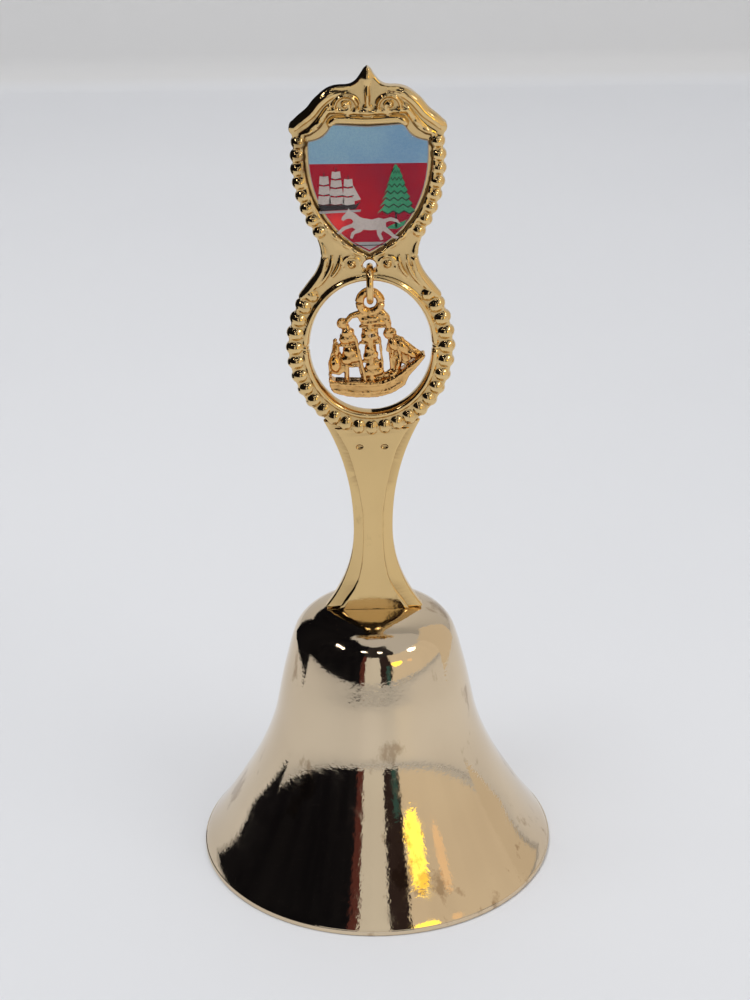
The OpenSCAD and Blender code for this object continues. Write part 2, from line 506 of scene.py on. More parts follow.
def finish_piece(obj: Object, name: str, body: str, finishes: Sequence[Material],
                 replaces: Sequence[str] = (), smooth: float = 35.0) -> Object:
    """Scale a piece to metres, shade it, dress it and let it ride on its body.

    Args:
        obj: The piece, in millimetres.
        name: Its name in the table.
        body: The CAD body that it moves with.
        finishes: Its materials. An empty list leaves those it has.
        replaces: CAD nodes that it stands for.
        smooth: Edges sharper than this many degrees stay sharp.

    Returns:
        The finished piece.
    """
    obj.name = name
    obj.data.name = name
    take(obj)
    obj.scale = (MM, MM, MM)
    bpy.ops.object.transform_apply(location=True, rotation=True, scale=True)
    bpy.ops.object.shade_smooth_by_angle(angle=math.radians(smooth))
    if finishes:
        obj.data.materials.clear()
        for finish in finishes:
            obj.data.materials.append(finish)
    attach(obj, body)
    if replaces:
        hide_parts(*replaces)
    log.info("%s: %d faces", name, len(obj.data.polygons))
    return obj


# ---------------------------------------------------------------- finishes


class NodeSheet:
    """A material's node tree, filled one node at a time."""

    def __init__(self, name: str) -> None:
        """Start an empty material.

        Args:
            name: The material's name.
        """
        self.material = bpy.data.materials.new(name)
        self.material.use_nodes = True
        self.tree = self.material.node_tree
        self.tree.nodes.clear()
        self.place = self.add("ShaderNodeTexCoord").outputs["Object"]

    def add(self, kind: str, inputs: dict | None = None, **settings: object) -> bpy.types.Node:
        """Add a node.

        Args:
            kind: The node's type.
            inputs: Values or sockets for its inputs, by name or number.
            **settings: Values set on the node.

        Returns:
            The node.
        """
        node = self.tree.nodes.new(kind)
        for key, value in settings.items():
            setattr(node, key, value)
        for key, value in (inputs or {}).items():
            if isinstance(value, bpy.types.NodeSocket):
                self.tree.links.new(value, node.inputs[key])
            else:
                node.inputs[key].default_value = value
        return node

    def noise(self, scale: float, detail: float = 3.0, stretch: Point3 | None = None,
              distortion: float = 0.0, rough: float = 0.5) -> bpy.types.NodeSocket:
        """A noise value in the piece's own coordinates.

        Args:
            scale: Blotches to the metre.
            detail: Octaves.
            stretch: Scale along each axis, to draw the noise out.
            distortion: How far it is pulled about.
            rough: Weight of the finer octaves.

        Returns:
            The noise's value.
        """
        place = self.place
        if stretch is not None:
            place = self.add("ShaderNodeMapping", {"Vector": place, "Scale": stretch}).outputs[0]
        return self.add("ShaderNodeTexNoise", {
            "Vector": place, "Scale": scale, "Detail": detail, "Distortion": distortion,
            "Roughness": rough}).outputs["Fac"]

    def ramp(self, value: bpy.types.NodeSocket, low: float, high: float,
             to_low: float = 0.0, to_high: float = 1.0) -> bpy.types.NodeSocket:
        """A value carried from one range to another, clamped.

        Args:
            value: The value.
            low: Start of its range.
            high: End of its range.
            to_low: Start of the new range.
            to_high: End of the new range.

        Returns:
            The new value.
        """
        return self.add("ShaderNodeMapRange", {
            "Value": value, "From Min": low, "From Max": high, "To Min": to_low,
            "To Max": to_high}).outputs["Result"]

    def blend(self, amount: bpy.types.NodeSocket, a: object, b: object) -> bpy.types.NodeSocket:
        """A colour between two, each a colour or a socket."""
        node = self.add("ShaderNodeMix", {0: amount, 6: a, 7: b}, data_type="RGBA")
        return node.outputs[2]

    def math(self, operation: str, a: object, b: object) -> bpy.types.NodeSocket:
        """The result of a sum on two values."""
        return self.add("ShaderNodeMath", {0: a, 1: b}, operation=operation).outputs[0]

    def bump(self, height: bpy.types.NodeSocket, distance: float, strength: float = 1.0,
             normal: bpy.types.NodeSocket | None = None) -> bpy.types.NodeSocket:
        """A bumped normal.

        Args:
            height: Height of the surface, 0 to 1.
            distance: Depth of the bumps in metres.
            strength: Share of it that shows.
            normal: A normal that it is added to.

        Returns:
            The normal.
        """
        inputs = {"Height": height, "Distance": distance, "Strength": strength}
        if normal is not None:
            inputs["Normal"] = normal
        return self.add("ShaderNodeBump", inputs).outputs[0]

    def surface(self, **inputs: object) -> Material:
        """Close the sheet with a Principled shader.

        Args:
            **inputs: Its inputs, with _ for a space.

        Returns:
            The finished material.
        """
        values = {key.replace("_", " "): value for key, value in inputs.items()}
        shader = self.add("ShaderNodeBsdfPrincipled", values)
        self.add("ShaderNodeOutputMaterial", {"Surface": shader.outputs[0]})
        return self.material


Colour = tuple[float, float, float, float]


def tint(r: float, g: float, b: float) -> Colour:
    """A linear colour with full alpha."""
    return (r, g, b, 1.0)


@dataclass(frozen=True)
class PlatedMetal:
    """Polished metal plate with handling marks.

    Attributes:
        name: The material's name.
        bright: Colour of the clean plate.
        dull: Colour of the patches, marks and spots, and of the painted shade in the hollows.
        polish: Roughness where it is clean.
        haze: Roughness where it is smeared.
        grain: Depth of the fine surface grain, in metres.
        ripple: Depth of the slow waves under the plate, in metres.
        peel: Depth of the orange peel in the plate, in metres.
        spots: How much of the dull colour the spots take.
        marks: How much of it the larger handling marks take.
        hollow_toning_and_shade: How much of the dull colour is painted into the hollows, partly as
            the plate's toning and partly as painted shade.
        turned: True if the grain runs round the Z axis.
    """

    name: str
    bright: Colour
    dull: Colour
    polish: float
    haze: float
    grain: float = 0.000002
    ripple: float = 0.00002
    peel: float = 0.0000012
    spots: float = 0.35
    marks: float = 0.3
    hollow_toning_and_shade: float = 0.0
    turned: bool = False

    def build(self) -> Material:
        """Make the material."""
        sheet = NodeSheet(self.name)
        patches = sheet.noise(55.0, 2.0)
        smear = sheet.noise(260.0, 5.0, distortion=1.4, rough=0.6)
        freckle = sheet.noise(1500.0, 2.0)
        speck = sheet.noise(420.0, 6.0, rough=0.75)
        tone = sheet.ramp(patches, 0.35, 0.75, 0.0, 0.2)
        mark = sheet.noise(130.0, 7.0, stretch=(1.0, 1.0, 0.55), rough=0.62)
        tone = sheet.math("ADD", tone, sheet.ramp(mark, 0.61, 0.66, 0.0, self.marks))
        spot = sheet.math("MULTIPLY", sheet.ramp(speck, 0.66, 0.74, 0.0, self.spots),
                          sheet.ramp(freckle, 0.4, 0.6))
        amount = sheet.math("ADD", tone, spot)
        # Painted shade: pointiness paints the dull colour into the hollows, partly as toning of the
        # plate and partly as shade.
        if self.hollow_toning_and_shade:
            hollow = sheet.add("ShaderNodeNewGeometry").outputs["Pointiness"]
            amount = sheet.math("ADD", amount, sheet.ramp(hollow, 0.505, 0.45, 0.0, self.hollow_toning_and_shade))
        colour = sheet.blend(sheet.math("MINIMUM", amount, 1.0), self.bright, self.dull)
        rough = sheet.math("ADD", sheet.ramp(smear, 0.45, 0.72, self.polish, self.haze),
                           sheet.math("MULTIPLY", spot, 0.5))
        fine = sheet.noise(7000.0, 2.0, stretch=(0.04, 0.04, 1.0) if self.turned else None)
        normal = sheet.bump(sheet.noise(150.0, 1.0), self.ripple)
        normal = sheet.bump(sheet.noise(1700.0, 2.0), self.peel, normal=normal)
        normal = sheet.bump(fine, self.grain, normal=normal)
        return sheet.surface(Base_Color=colour, Metallic=1.0, Roughness=rough, Normal=normal)


@dataclass(frozen=True)
class Ink:
    """Printed ink on bright foil, with a fine printing screen.

    Attributes:
        name: The material's name.
        colour: The ink.
        glow: The ink where the foil shines through.
        metal: How metallic it looks.
        lit: Where the dome gathers light on it, if anywhere.
    """

    name: str
    colour: Colour
    glow: Colour
    metal: float = 0.35
    lit: Point3 | None = None

    def build(self) -> Material:
        """Make the material."""
        sheet = NodeSheet(self.name)
        cloud = sheet.noise(140.0, 3.0)
        screen = sheet.noise(5200.0, 1.0)
        amount = sheet.math("ADD", sheet.ramp(cloud, 0.35, 0.7, 0.0, 0.7),
                            sheet.ramp(screen, 0.4, 0.6, 0.0, 0.25))
        colour = sheet.blend(amount, self.colour, self.glow)
        if self.lit:
            away = sheet.add("ShaderNodeVectorMath", {0: sheet.place, 1: self.lit},
                             operation="DISTANCE")
            colour = sheet.blend(sheet.ramp(away.outputs["Value"], 0.0026, 0.0004, 0.0, 0.85),
                                 colour, tint(1.0, 0.05, 0.045))
        rough = sheet.ramp(cloud, 0.3, 0.7, 0.38, 0.5)
        normal = sheet.bump(screen, 0.000004)
        return sheet.surface(Base_Color=colour, Metallic=self.metal, Roughness=rough, Normal=normal,
                             Specular_IOR_Level=0.15)


@dataclass(frozen=True)
class ClearResin:
    """Clear domed resin, seen as its gloss over the print."""

    name: str = "clear_resin"

    def build(self) -> Material:
        """Make the material."""
        sheet = NodeSheet(self.name)
        normal = sheet.bump(sheet.noise(320.0, 1.0), 0.000018)
        gloss = sheet.add("ShaderNodeFresnel", {"IOR": 1.5, "Normal": normal}).outputs[0]
        clear = sheet.math("MULTIPLY", gloss, 0.3)
        material = sheet.surface(Base_Color=tint(0.98, 0.98, 1.0), Metallic=1.0, Roughness=0.03,
                                 Alpha=clear, Normal=normal)
        material.surface_render_method = "BLENDED"
        return material


@dataclass(frozen=True)
class Paper:
    """Plain matt sweep of the studio."""

    name: str
    colour: Colour
    shade: Colour
    wall: Colour

    def build(self) -> Material:
        """Make the material."""
        sheet = NodeSheet(self.name)
        cloud = sheet.noise(6.0, 2.0)
        height = sheet.add("ShaderNodeSeparateXYZ", {"Vector": sheet.place}).outputs["Z"]
        colour = sheet.blend(sheet.ramp(cloud, 0.3, 0.7), self.colour, self.shade)
        colour = sheet.blend(sheet.ramp(height, 0.0, 0.004), colour, self.wall)
        normal = sheet.bump(sheet.noise(900.0, 2.0), 0.00001)
        return sheet.surface(Base_Color=colour, Roughness=0.55, Normal=normal)


@dataclass(frozen=True)
class Finishes:
    """Every finish of the bell, made once."""

    cup: Material
    handle: Material
    charm: Material
    ring: Material
    steel: Material
    ball: Material
    resin: Material

    @classmethod
    def make(cls) -> Finishes:
        """Build all of them."""
        return cls(
            cup=PlatedMetal("cup_plate", tint(0.76, 0.62, 0.44), tint(0.34, 0.22, 0.12),
                            0.04, 0.13, grain=0.0000011, ripple=0.00003,
                            peel=0.000011, spots=0.6, marks=0.6, turned=True).build(),
            handle=PlatedMetal("handle_plate", tint(0.785, 0.56, 0.262), tint(0.32, 0.2, 0.085),
                               0.08, 0.2, grain=0.0000015, ripple=0.00004, hollow_toning_and_shade=0.55,
                               peel=0.000008, spots=0.6, marks=0.5).build(),
            charm=PlatedMetal("charm_plate", tint(0.86, 0.52, 0.20), tint(0.16, 0.055, 0.012),
                              0.12, 0.3, grain=0.000006, ripple=0.0001, hollow_toning_and_shade=0.85, peel=0.00003,
                              spots=0.6, marks=0.5).build(),
            ring=PlatedMetal("ring_plate", tint(0.86, 0.59, 0.27), tint(0.5, 0.28, 0.1),
                             0.12, 0.22).build(),
            steel=PlatedMetal("zinc_steel", tint(0.66, 0.65, 0.62), tint(0.34, 0.32, 0.28),
                              0.22, 0.4, grain=0.000004).build(),
            ball=PlatedMetal("ball_plate", tint(0.76, 0.63, 0.36), tint(0.36, 0.26, 0.12),
                             0.2, 0.38, grain=0.000004).build(),
            resin=ClearResin().build())


# ---------------------------------------------------------------- the cup


@dataclass
class Cup:
    """Spun cup with a narrow band at its mouth.

    Attributes:
        mouth_r: Radius of the mouth.
        crown_z: Height of the crown.
        wall: Thickness of the wall.
        lip_h: Height of the band at the mouth.
        crown_flat_r: Radius of the crown's flat middle.
        hole_r: Radius of the hole for the eye bolt.
        turns: Faces round the cup.
    """

    mouth_r: float
    crown_z: float
    wall: float = 1.0
    lip_h: float = 0.8
    crown_flat_r: float = 5.0
    hole_r: float = 1.1
    turns: int = 180

    def side(self, shrink: float) -> list[Point2]:
        """The wall from the lip band to the crown, as (radius, height).

        Args:
            shrink: How far inside the outer face it runs.

        Returns:
            The points, from the mouth upwards.
        """
        r, top = self.mouth_r, self.crown_z - shrink
        wall = (bezier([(r, self.lip_h), (r - 2.1, 3.2), (r - 4.3, 7), (r - 6.1, 10)], 12)
                + bezier([(r - 6.1, 10), (r - 7.9, 13), (15, 18.2), (14.1, 23)], 16)[1:]
                + bezier([(14.1, 23), (13.65, 25.3), (13.2, 27.7), (12.75, 29.4)], 8)[1:]
                + bezier([(12.75, 29.4), (12.25, 31.25), (11.85, 33.2), (11.2, 34.7)], 8)[1:])
        shoulder = bezier([(11.2 - shrink, top - 3.5), (10.4 - shrink, top - 1.85),
                           (8.4, top - 0.2), (self.crown_flat_r, top)], 14)
        return [(x - shrink, z - shrink * z / self.crown_z) for x, z in wall] + shoulder[1:]

    def section(self) -> list[Point2]:
        """The closed outline of the wall on one side of the axis."""
        band, inner = self.mouth_r, self.mouth_r - self.wall
        foot = [(inner + 0.25, 0.0), (band - 0.2, 0.0), (band - 0.06, 0.06), (band, 0.2),
                (band, self.lip_h - 0.16), (band - 0.06, self.lip_h - 0.04),
                (band - 0.16, self.lip_h)]
        outside = [p for p in self.side(0) if p[1] > self.lip_h + 0.05]
        top = [(self.hole_r, self.crown_z), (self.hole_r, self.crown_z - self.wall)]
        inside = [p for p in reversed(self.side(self.wall)) if p[1] > 0.3]
        return foot + outside + top + inside + [(inner, 0.3)]

    def build(self, finishes: Finishes) -> Object:
        """Spin the section round the axis."""
        cup = lathe("bell_cup", self.section(), self.turns)
        return finish_piece(cup, "bell_cup", "bell", [finishes.cup], ["bell_shell"])


# ---------------------------------------------------------------- the handle


@dataclass
class Handle:
    """Cast handle: shield frame, neck, beaded ring, stem and foot.

    Heights are above the crown.

    Attributes:
        crown_z: Height of the crown.
        web: Half the thickness of the flat casting.
        open_rx: Half width of the ring's opening.
        open_rz: Half height of it.
        ring_z: Height of its centre.
        hole_z: Height of the jump ring's hole.
        hole_r: Radius of that hole.
        recess_y: The floor of the emblem's recess.
        bead_half: Half the depth of a bead.
        ring_beads: Beads round the ring.
        side_beads: Beads down each side of the shield.
        side_arc: Centre of the arc that those beads lie on.
        side_arc_r: Its radius.
        bead_pitch: From one of those beads to the next.
        grain: Size of the cells that the ornate part is cast from.
    """

    crown_z: float
    web: float = 0.85
    open_rx: float = 8.1
    open_rz: float = 9.2
    ring_z: float = 38.8
    hole_z: float = 50.1
    hole_r: float = 0.9
    recess_y: float = -0.5
    bead_half: float = 1.45
    ring_beads: int = 27
    side_beads: int = 8
    side_arc: Point2 = (-7.75, 63.9)
    side_arc_r: float = 17.0
    bead_pitch: float = 1.75
    grain: float = 0.13

    def frame_half(self) -> list[Point2]:
        """Right half of the shield frame and neck, from top to bottom."""
        return (bezier([(0, 76.1), (1, 75.4), (1.1, 73.8), (2.8, 73.7)], 12)
                + bezier([(2.9, 73.7), (6.6, 73.9), (6.6, 70.9), (9.3, 69.4)], 16)
                + arc((9.25, 68.4), 0.85, 70, -55, 8)
                + arc(self.side_arc, self.side_arc_r + 0.4, 9, -33, 20)
                + bezier([(6.5, 54.2), (5.8, 52.4), (5.6, 49.8), (9.3, 45.7)], 14)
                + [(6, 42)])

    def build(self, finishes: Finishes) -> Object:
        """Shape the casting and dress it.

        Args:
            finishes: The bell's finishes.

        Returns:
            The finished handle.
        """
        web = plate("web", both_sides(self.frame_half()), -self.web, self.web)
        band = plate("band", oval(self.open_rx + 2.8, self.open_rz + 3.15, self.ring_z, 144),
                     -self.web, self.web)
        combine(web, [band])
        outline = both_sides(self.recess_outline(0))
        opening = plate("opening", oval(self.open_rx + 0.4, self.open_rz + 0.4, self.ring_z), -4, 4)
        combine(web,
                [plate("recess", outline, -4, self.recess_y), plate("recess", outline, 0.75, 4),
                 opening], "DIFFERENCE")
        top = join([web, self.lip(), self.recess_rim(), *self.crest(), *self.neck(),
                    *self.side_row(), *self.ring_row()])
        cast_soft(top, self.grain, 3, 0.62)
        stem = self.stem()
        combine(top, [stem])
        combine(top, self.cuts(), "DIFFERENCE")
        lift(top, self.crown_z)
        return finish_piece(top, "cast_handle", "bell", [finishes.handle],
                            ["handle"], smooth=40)

    def stem(self) -> Object:
        """The stem and its raised panel, each drawn up from the foot."""
        edge = bezier([(6.9, 0), (4.1, 3.6), (2.7, 7.6), (2.7, 12.2)], 24)
        edge += bezier([(2.7, 12.2), (2.7, 18.3), (3.9, 23.3), (6.6, 28.3)], 30)[1:]
        line = [(4.9, 0), (4.0, 1.6), (2.9, 3.2), (2.05, 5.0), (1.55, 7.6), (1.35, 11), (1.4, 15),
                (1.9, 18.5), (2.6, 21.6), (3.3, 24), (4.4, 26.2), (5.2, 27.4)]
        depth = [(1.25, 0), (1.2, 10), (1.15, 20), (0.82, 26.3), (0.8, 28.3)]
        proud = [(1.5, 0), (1.45, 10), (1.32, 20), (0.92, 26.3), (0.9, 28.3)]
        body = [(1, -0.55), (1, 0.55), (0.55, 1), (-0.55, 1), (-1, 0.55), (-1, -0.55), (-0.55, -1),
                (0.55, -1)]
        panel = [(1, -0.86), (1, 0.86), (0.9, 1), (-0.9, 1), (-1, 0.86), (-1, -0.86), (-0.9, -1),
                 (0.9, -1)]
        stem = loft("stem", body, edge, depth, 28.3, 50)
        soften(stem, 0.22, 4)
        raised = loft("panel", panel, line, proud, 27.2, 44)
        soften(raised, 0.07, 2)
        return combine(stem, [raised])

    def lip(self) -> Object:
        """The rounded moulding round the opening."""
        around = oval(self.open_rx + 0.55, self.open_rz + 0.55, self.ring_z, 120)
        return tube("lip", [(x, z, 0.56) for x, z in around], deep=2.25, closed=True, fine=5)

    def crest(self) -> list[Object]:
        """The mouldings, volutes and rib over the shield."""
        edge = smooth_path([(9.4, 68.5, 0.72), (8.4, 69.35, 0.8), (7.2, 70.3, 0.84),
                            (6.1, 71.6, 0.84),
                            (4.75, 72.6, 0.78), (3.2, 73.0, 0.62), (1.9, 73.25, 0.48),
                            (1.0, 73.9, 0.42)])
        inner = smooth_path([(8.7, 67.75, 0.24), (7.2, 68.45, 0.3), (6.1, 69.6, 0.32),
                             (5.3, 70.75, 0.34),
                             (4.7, 71.35, 0.3)])
        scroll = swirl((2.75, 71.15), 1.45, 1.4, 0.33, range(-28, 202, 10))
        curl = swirl((2.85, 71.35), 0.2, 0.2, 0.24, range(-60, 260, 16), 0.0021)
        right = [tube("crest_edge", edge, deep=1.65), tube("crest_inner", inner, deep=3.7),
                 tube("scroll", scroll, deep=4.1), tube("curl", curl, deep=5.0),
                 ball("eye", (2.85, 0, 71.35), (0.55, 1.45, 0.5))]
        rib = ball("rib", (0, 0, 72.5), (0.42, 1.45, 2.3))
        root = ball("root", (0, 0, 71.0), (0.75, 1.25, 0.6))
        knob = ball("knob", (0, 0, 74.6), (0.85, 1.3, 1.5))
        sill = smooth_path([(-4.7, 68.95, 0.5), (-3.9, 69.4, 0.55), (0, 69.25, 0.55),
                            (3.9, 69.4, 0.55),
                            (4.7, 68.95, 0.5)])
        cove = tube("cove", sill, y=self.recess_y, deep=0.95)
        return both(right) + [rib, root, knob, cove]

    def recess_outline(self, border: float, drop: float = 0.0) -> list[Point2]:
        """Right half of the shield's recess, or of the emblem inside it.

        Args:
            border: How far inside the recess the line runs.
            drop: How much wider that border is along the top.

        Returns:
            Points from top to bottom.
        """
        b, d = border, drop
        return ([(0, 70 - b - d), (2.4 - b / 4, 70.15 - b - d), (4.8 - b / 2, 70.3 - b - d)]
                + bezier([(5.5 - b, 69.4 - b / 2 - d), (6.1 - b, 68.2 - b / 2 - 0.8 * d),
                          (6.9 - b, 67.7 - b / 2 - 0.6 * d), (8.1 - b, 67.4 - b / 2 - 0.5 * d)], 8)
                + bezier([(8.2 - b, 66.4), (8.5 - b, 60.8), (6.6 - b, 54.6 + b / 2), (0, 51.5 + b)],
                         24))

    def recess_rim(self) -> Object:
        """The wavy ridge round the recess."""
        line = both_sides(self.recess_outline(-0.4))
        path, run = [], 0.0
        for i, (x, z) in enumerate(line):
            run += math.dist((x, z), line[i - 1]) if i else 0.0
            path.append((x, z, 0.44 + 0.06 * math.cos(2 * math.pi * run / self.bead_pitch)))
        return tube("recess_rim", path, deep=2.6, closed=True)

    def ring_row(self) -> list[Object]:
        """The beads round the ring, drawn out towards its middle."""
        beads = []
        for i in range(self.ring_beads):
            a = math.radians(40 - 260 * i / (self.ring_beads - 1))
            x, z = (self.open_rx + 1.95) * math.cos(a), (self.open_rz + 2.3) * math.sin(a)
            beads.append(ball("bead", (x, 0, self.ring_z + z), (1.3, self.bead_half, 1.08),
                              lean=math.degrees(math.atan2(z, x))))
        return beads

    def side_row(self) -> list[Object]:
        """The beads down both sides of the shield."""
        beads = []
        for i in range(self.side_beads):
            a = math.radians(8.8) - i * self.bead_pitch / self.side_arc_r
            x = self.side_arc[0] + self.side_arc_r * math.cos(a)
            z = self.side_arc[1] + self.side_arc_r * math.sin(a)
            beads.append(ball("bead", (x - 0.2, 0, z), (1.06, self.bead_half, 0.98),
                              lean=math.degrees(a)))
        return both(beads)

    def neck(self) -> list[Object]:
        """The leaves and small beads between the shield and the ring."""
        outer = smooth_path([(6.6, 54.3, 0.4), (5.95, 52.4, 0.52), (5.9, 50.6, 0.62),
                             (6.6, 48.8, 0.68),
                             (7.9, 47.0, 0.68), (8.9, 45.9, 0.55)])
        middle = smooth_path([(5.0, 53.2, 0.22), (4.9, 51.6, 0.34), (5.1, 50.1, 0.42),
                              (5.9, 48.6, 0.44),
                              (7.0, 47.3, 0.36), (7.7, 46.5, 0.2)])
        inner = smooth_path([(3.9, 52.3, 0.18), (3.8, 51.2, 0.3), (4.1, 50.0, 0.36),
                             (4.8, 48.9, 0.32),
                             (5.5, 48.2, 0.2)])
        scroll = swirl((2.35, 50.35), 1.15, 1.1, 0.22, range(-30, 190, 12))
        right = [tube("leaf", outer, deep=2.0), tube("leaf", middle, deep=2.9),
                 tube("leaf", inner, deep=3.6),
                 tube("leaf_scroll", scroll, deep=4.9),
                 ball("leaf_bead", (2.35, 0, 50.35), (0.66, 1.45, 0.62))]
        return both(right)

    def cuts(self) -> list[Object]:
        """The jump ring's hole, the dots and hooks on the stem and the threaded hole in the foot."""
        hole = bolt_hole("hole", 0, self.hole_z, self.hole_r, 4)
        widen = [ball("widen", (0, side * 1.55, self.hole_z), (1.5, 1.0, 1.5))
                 for side in (-1, 1)]
        dots = [ball("dot", (side * 1.7, -1.12, 24.6), (0.55, 0.34, 0.4)) for side in (-1, 1)]
        hook = smooth_path([(2.35, 4.9, 0.1), (2.75, 3.9, 0.17), (3.5, 2.9, 0.19),
                            (4.5, 2.2, 0.12)])
        hooks = [tube("hook", hook, y=y) for y in (-1.36, 1.36)]
        tapped = ball("tapped", (0, 0, 0), (1.0, 1.0, 7.0))
        return [hole, *widen, *dots, *both(hooks), tapped]


# ---------------------------------------------------------------- the emblem


class InkName(Enum):
    """The print's inks."""

    SKY = "ink_sky"
    FIELD = "ink_red"
    SAIL = "ink_sail"
    DARK = "ink_dark"
    TREE = "ink_green"
    GROUND = "ink_ground"


@dataclass
class Emblem:
    """Printed shield under a clear dome. The picture is plain: a ship, a tree and a horse.

    Attributes:
        handle: The handle that holds it.
        border: Gap round it in the recess.
        drop: How much wider the gap is along the top.
        plate_t: Thickness of the printed plate.
        dome_h: Height of the dome.
        mid_z: Height of the dome's middle above the crown.
        horizon: Where the sky meets the red field, above the crown.
        ink_t: Thickness of one layer of ink.
        foot_z: Height of the print's lower tip above the crown.
        head_z: Height that its upper edge stays under.
        margin: How far the print stays inside the outline.
    """

    handle: Handle
    border: float = 0.5
    drop: float = 0.9
    plate_t: float = 0.3
    dome_h: float = 0.9
    mid_z: float = 60.5
    horizon: float = 63.8
    ink_t: float = 0.012
    foot_z: float = 51.9
    head_z: float = 71.0
    margin: float = 0.12
    inks: dict[InkName, Material] = field(default_factory=dict)

    def mix_inks(self) -> None:
        """Make the six inks."""
        self.inks = {
            InkName.SKY: Ink("ink_sky", tint(0.20, 0.36, 0.54), tint(0.34, 0.54, 0.62)).build(),
            InkName.FIELD: Ink("ink_red", tint(0.31, 0.0, 0.022), tint(0.62, 0.002, 0.014), 0.65,
                                (-0.0042, -0.0008, 0.0942)).build(),
            InkName.SAIL: Ink("ink_sail", tint(0.50, 0.42, 0.38), tint(0.72, 0.64, 0.58),
                              0.2).build(),
            InkName.DARK: Ink("ink_dark", tint(0.012, 0.010, 0.012), tint(0.05, 0.03, 0.03),
                              0.1).build(),
            InkName.TREE: Ink("ink_green", tint(0.03, 0.26, 0.12), tint(0.10, 0.48, 0.24),
                              0.2).build(),
            InkName.GROUND: Ink("ink_ground", tint(0.36, 0.34, 0.33), tint(0.5, 0.47, 0.46),
                                0.2).build(),
        }

    @property
    def surface(self) -> float:
        """Where the printed plate's face lies along Y."""
        return self.handle.recess_y - self.plate_t

    def outline(self) -> list[Point2]:
        """The emblem's outline, once round."""
        return both_sides(self.handle.recess_outline(self.border, self.drop))

    def patch(self, shape: Sequence[Point2], ink: InkName, layer: int) -> Object:
        """One printed shape.

        Args:
            shape: Its outline.
            ink: Its ink.
            layer: How many layers lie under it.

        Returns:
            The new object.
        """
        patch = plate(ink.value, shape, self.surface - (layer + 1) * self.ink_t,
                      self.surface + 0.05)
        patch.data.materials.append(self.inks[ink])
        return patch

    def band(self, low: float, high: float, inset: float = 0.0) -> list[Point2]:
        """The part of the outline between two heights."""
        line = self.handle.recess_outline(self.border + inset, self.drop)
        half = [p for p in line if low < p[1] < high]

        def edge(height: float) -> float:
            """The outline's half width at a height."""
            return min(line[2:], key=lambda p: abs(p[1] - height))[0]

        top = [] if half and half[0][0] == 0 else [(edge(high), high)]
        end = [] if half and half[-1][0] < 1e-6 else [(edge(low), low)]
        return both_sides(top + half + end)

    def ship(self) -> list[Object]:
        """A small square-rigged ship."""
        parts = []
        for mast, (x, base, tall,
                   wide) in enumerate(((-5.7, 58.5, 3.9, 1.7), (-4.15, 58.5, 4.5, 2.0),
                                       (-2.6, 58.4, 3.6, 1.6))):
            parts.append(self.patch([(x - 0.06, base - 0.4), (x + 0.06, base - 0.4),
                                     (x + 0.06, base + tall + 0.3), (x - 0.06, base + tall + 0.3)],
                                    InkName.DARK, 2))
            rows = 4 if mast == 1 else 3
            for row in range(rows):
                low = base + 0.1 + tall * row / rows
                high = base + tall * (row + 1) / rows - 0.18
                half = wide / 2 * (1 - 0.13 * row)
                swell = 0.16
                parts.append(self.patch([(x - half, low), (x - half * 0.2, low - swell),
                                         (x + half, low),
                                         (x + half * 0.86, high),
                                         (x - half * 0.1, high - swell / 2),
                                         (x - half * 0.86, high)], InkName.SAIL, 3))
                parts.append(self.patch([(x - half, low - 0.14), (x + half, low - 0.14),
                                         (x + half, low - 0.02), (x - half, low - 0.02)],
                                        InkName.DARK, 2))
        hull = [(-6.5, 58.4), (-1.7, 58.4), (-1.0, 58.9), (-1.7, 57.8), (-6.2, 57.6)]
        jib = [(-2.0, 61.0), (-1.0, 59.1), (-2.1, 58.8)]
        water = [(-6.5, 57.55), (-1.0, 57.75), (-1.1, 57.45), (-6.3, 57.25)]
        return parts + [self.patch(hull, InkName.DARK, 2), self.patch(jib, InkName.SAIL, 2),
                        self.patch(water, InkName.GROUND, 2)]

    def tree(self) -> list[Object]:
        """A pointed evergreen in tiers."""
        x, foot, top, tiers = 3.5, 57.2, 63.5, 7
        parts = [self.patch([(x - 0.16, 55.3), (x + 0.16, 55.3), (x + 0.1, foot + 1),
                             (x - 0.1, foot + 1)],
                            InkName.DARK, 2)]
        for i in range(tiers):
            low = foot + (top - foot) * i / tiers
            high = min(low + 2.1, top)
            half = 2.2 * (1 - i / tiers) + 0.25
            teeth = 7
            hem = [(x - half + 2 * half * k / teeth, low + (0.42 if k % 2 else 0.0))
                   for k in range(teeth + 1)]
            shade = [(px * 1.02 - 0.02 * x, pz - 0.19) for px, pz in hem]
            parts.append(self.patch(hem + [(x + half * 0.22, high), (x, high + 0.2),
                                           (x - half * 0.22, high)],
                                    InkName.TREE, 3 + 2 * i))
            parts.append(self.patch(shade
                                    + [(x + half * 0.6, low + 0.5), (x - half * 0.6, low + 0.5)],
                                    InkName.DARK, 2 + 2 * i))
        hill = bezier([(2.2, 55.2), (3.2, 56.1), (4.0, 55.7), (4.9, 56.4)], 8) + [(4.5, 55.6),
                                                                                  (3.6, 55.1)]
        return parts + [self.patch(hill, InkName.TREE, 2)]

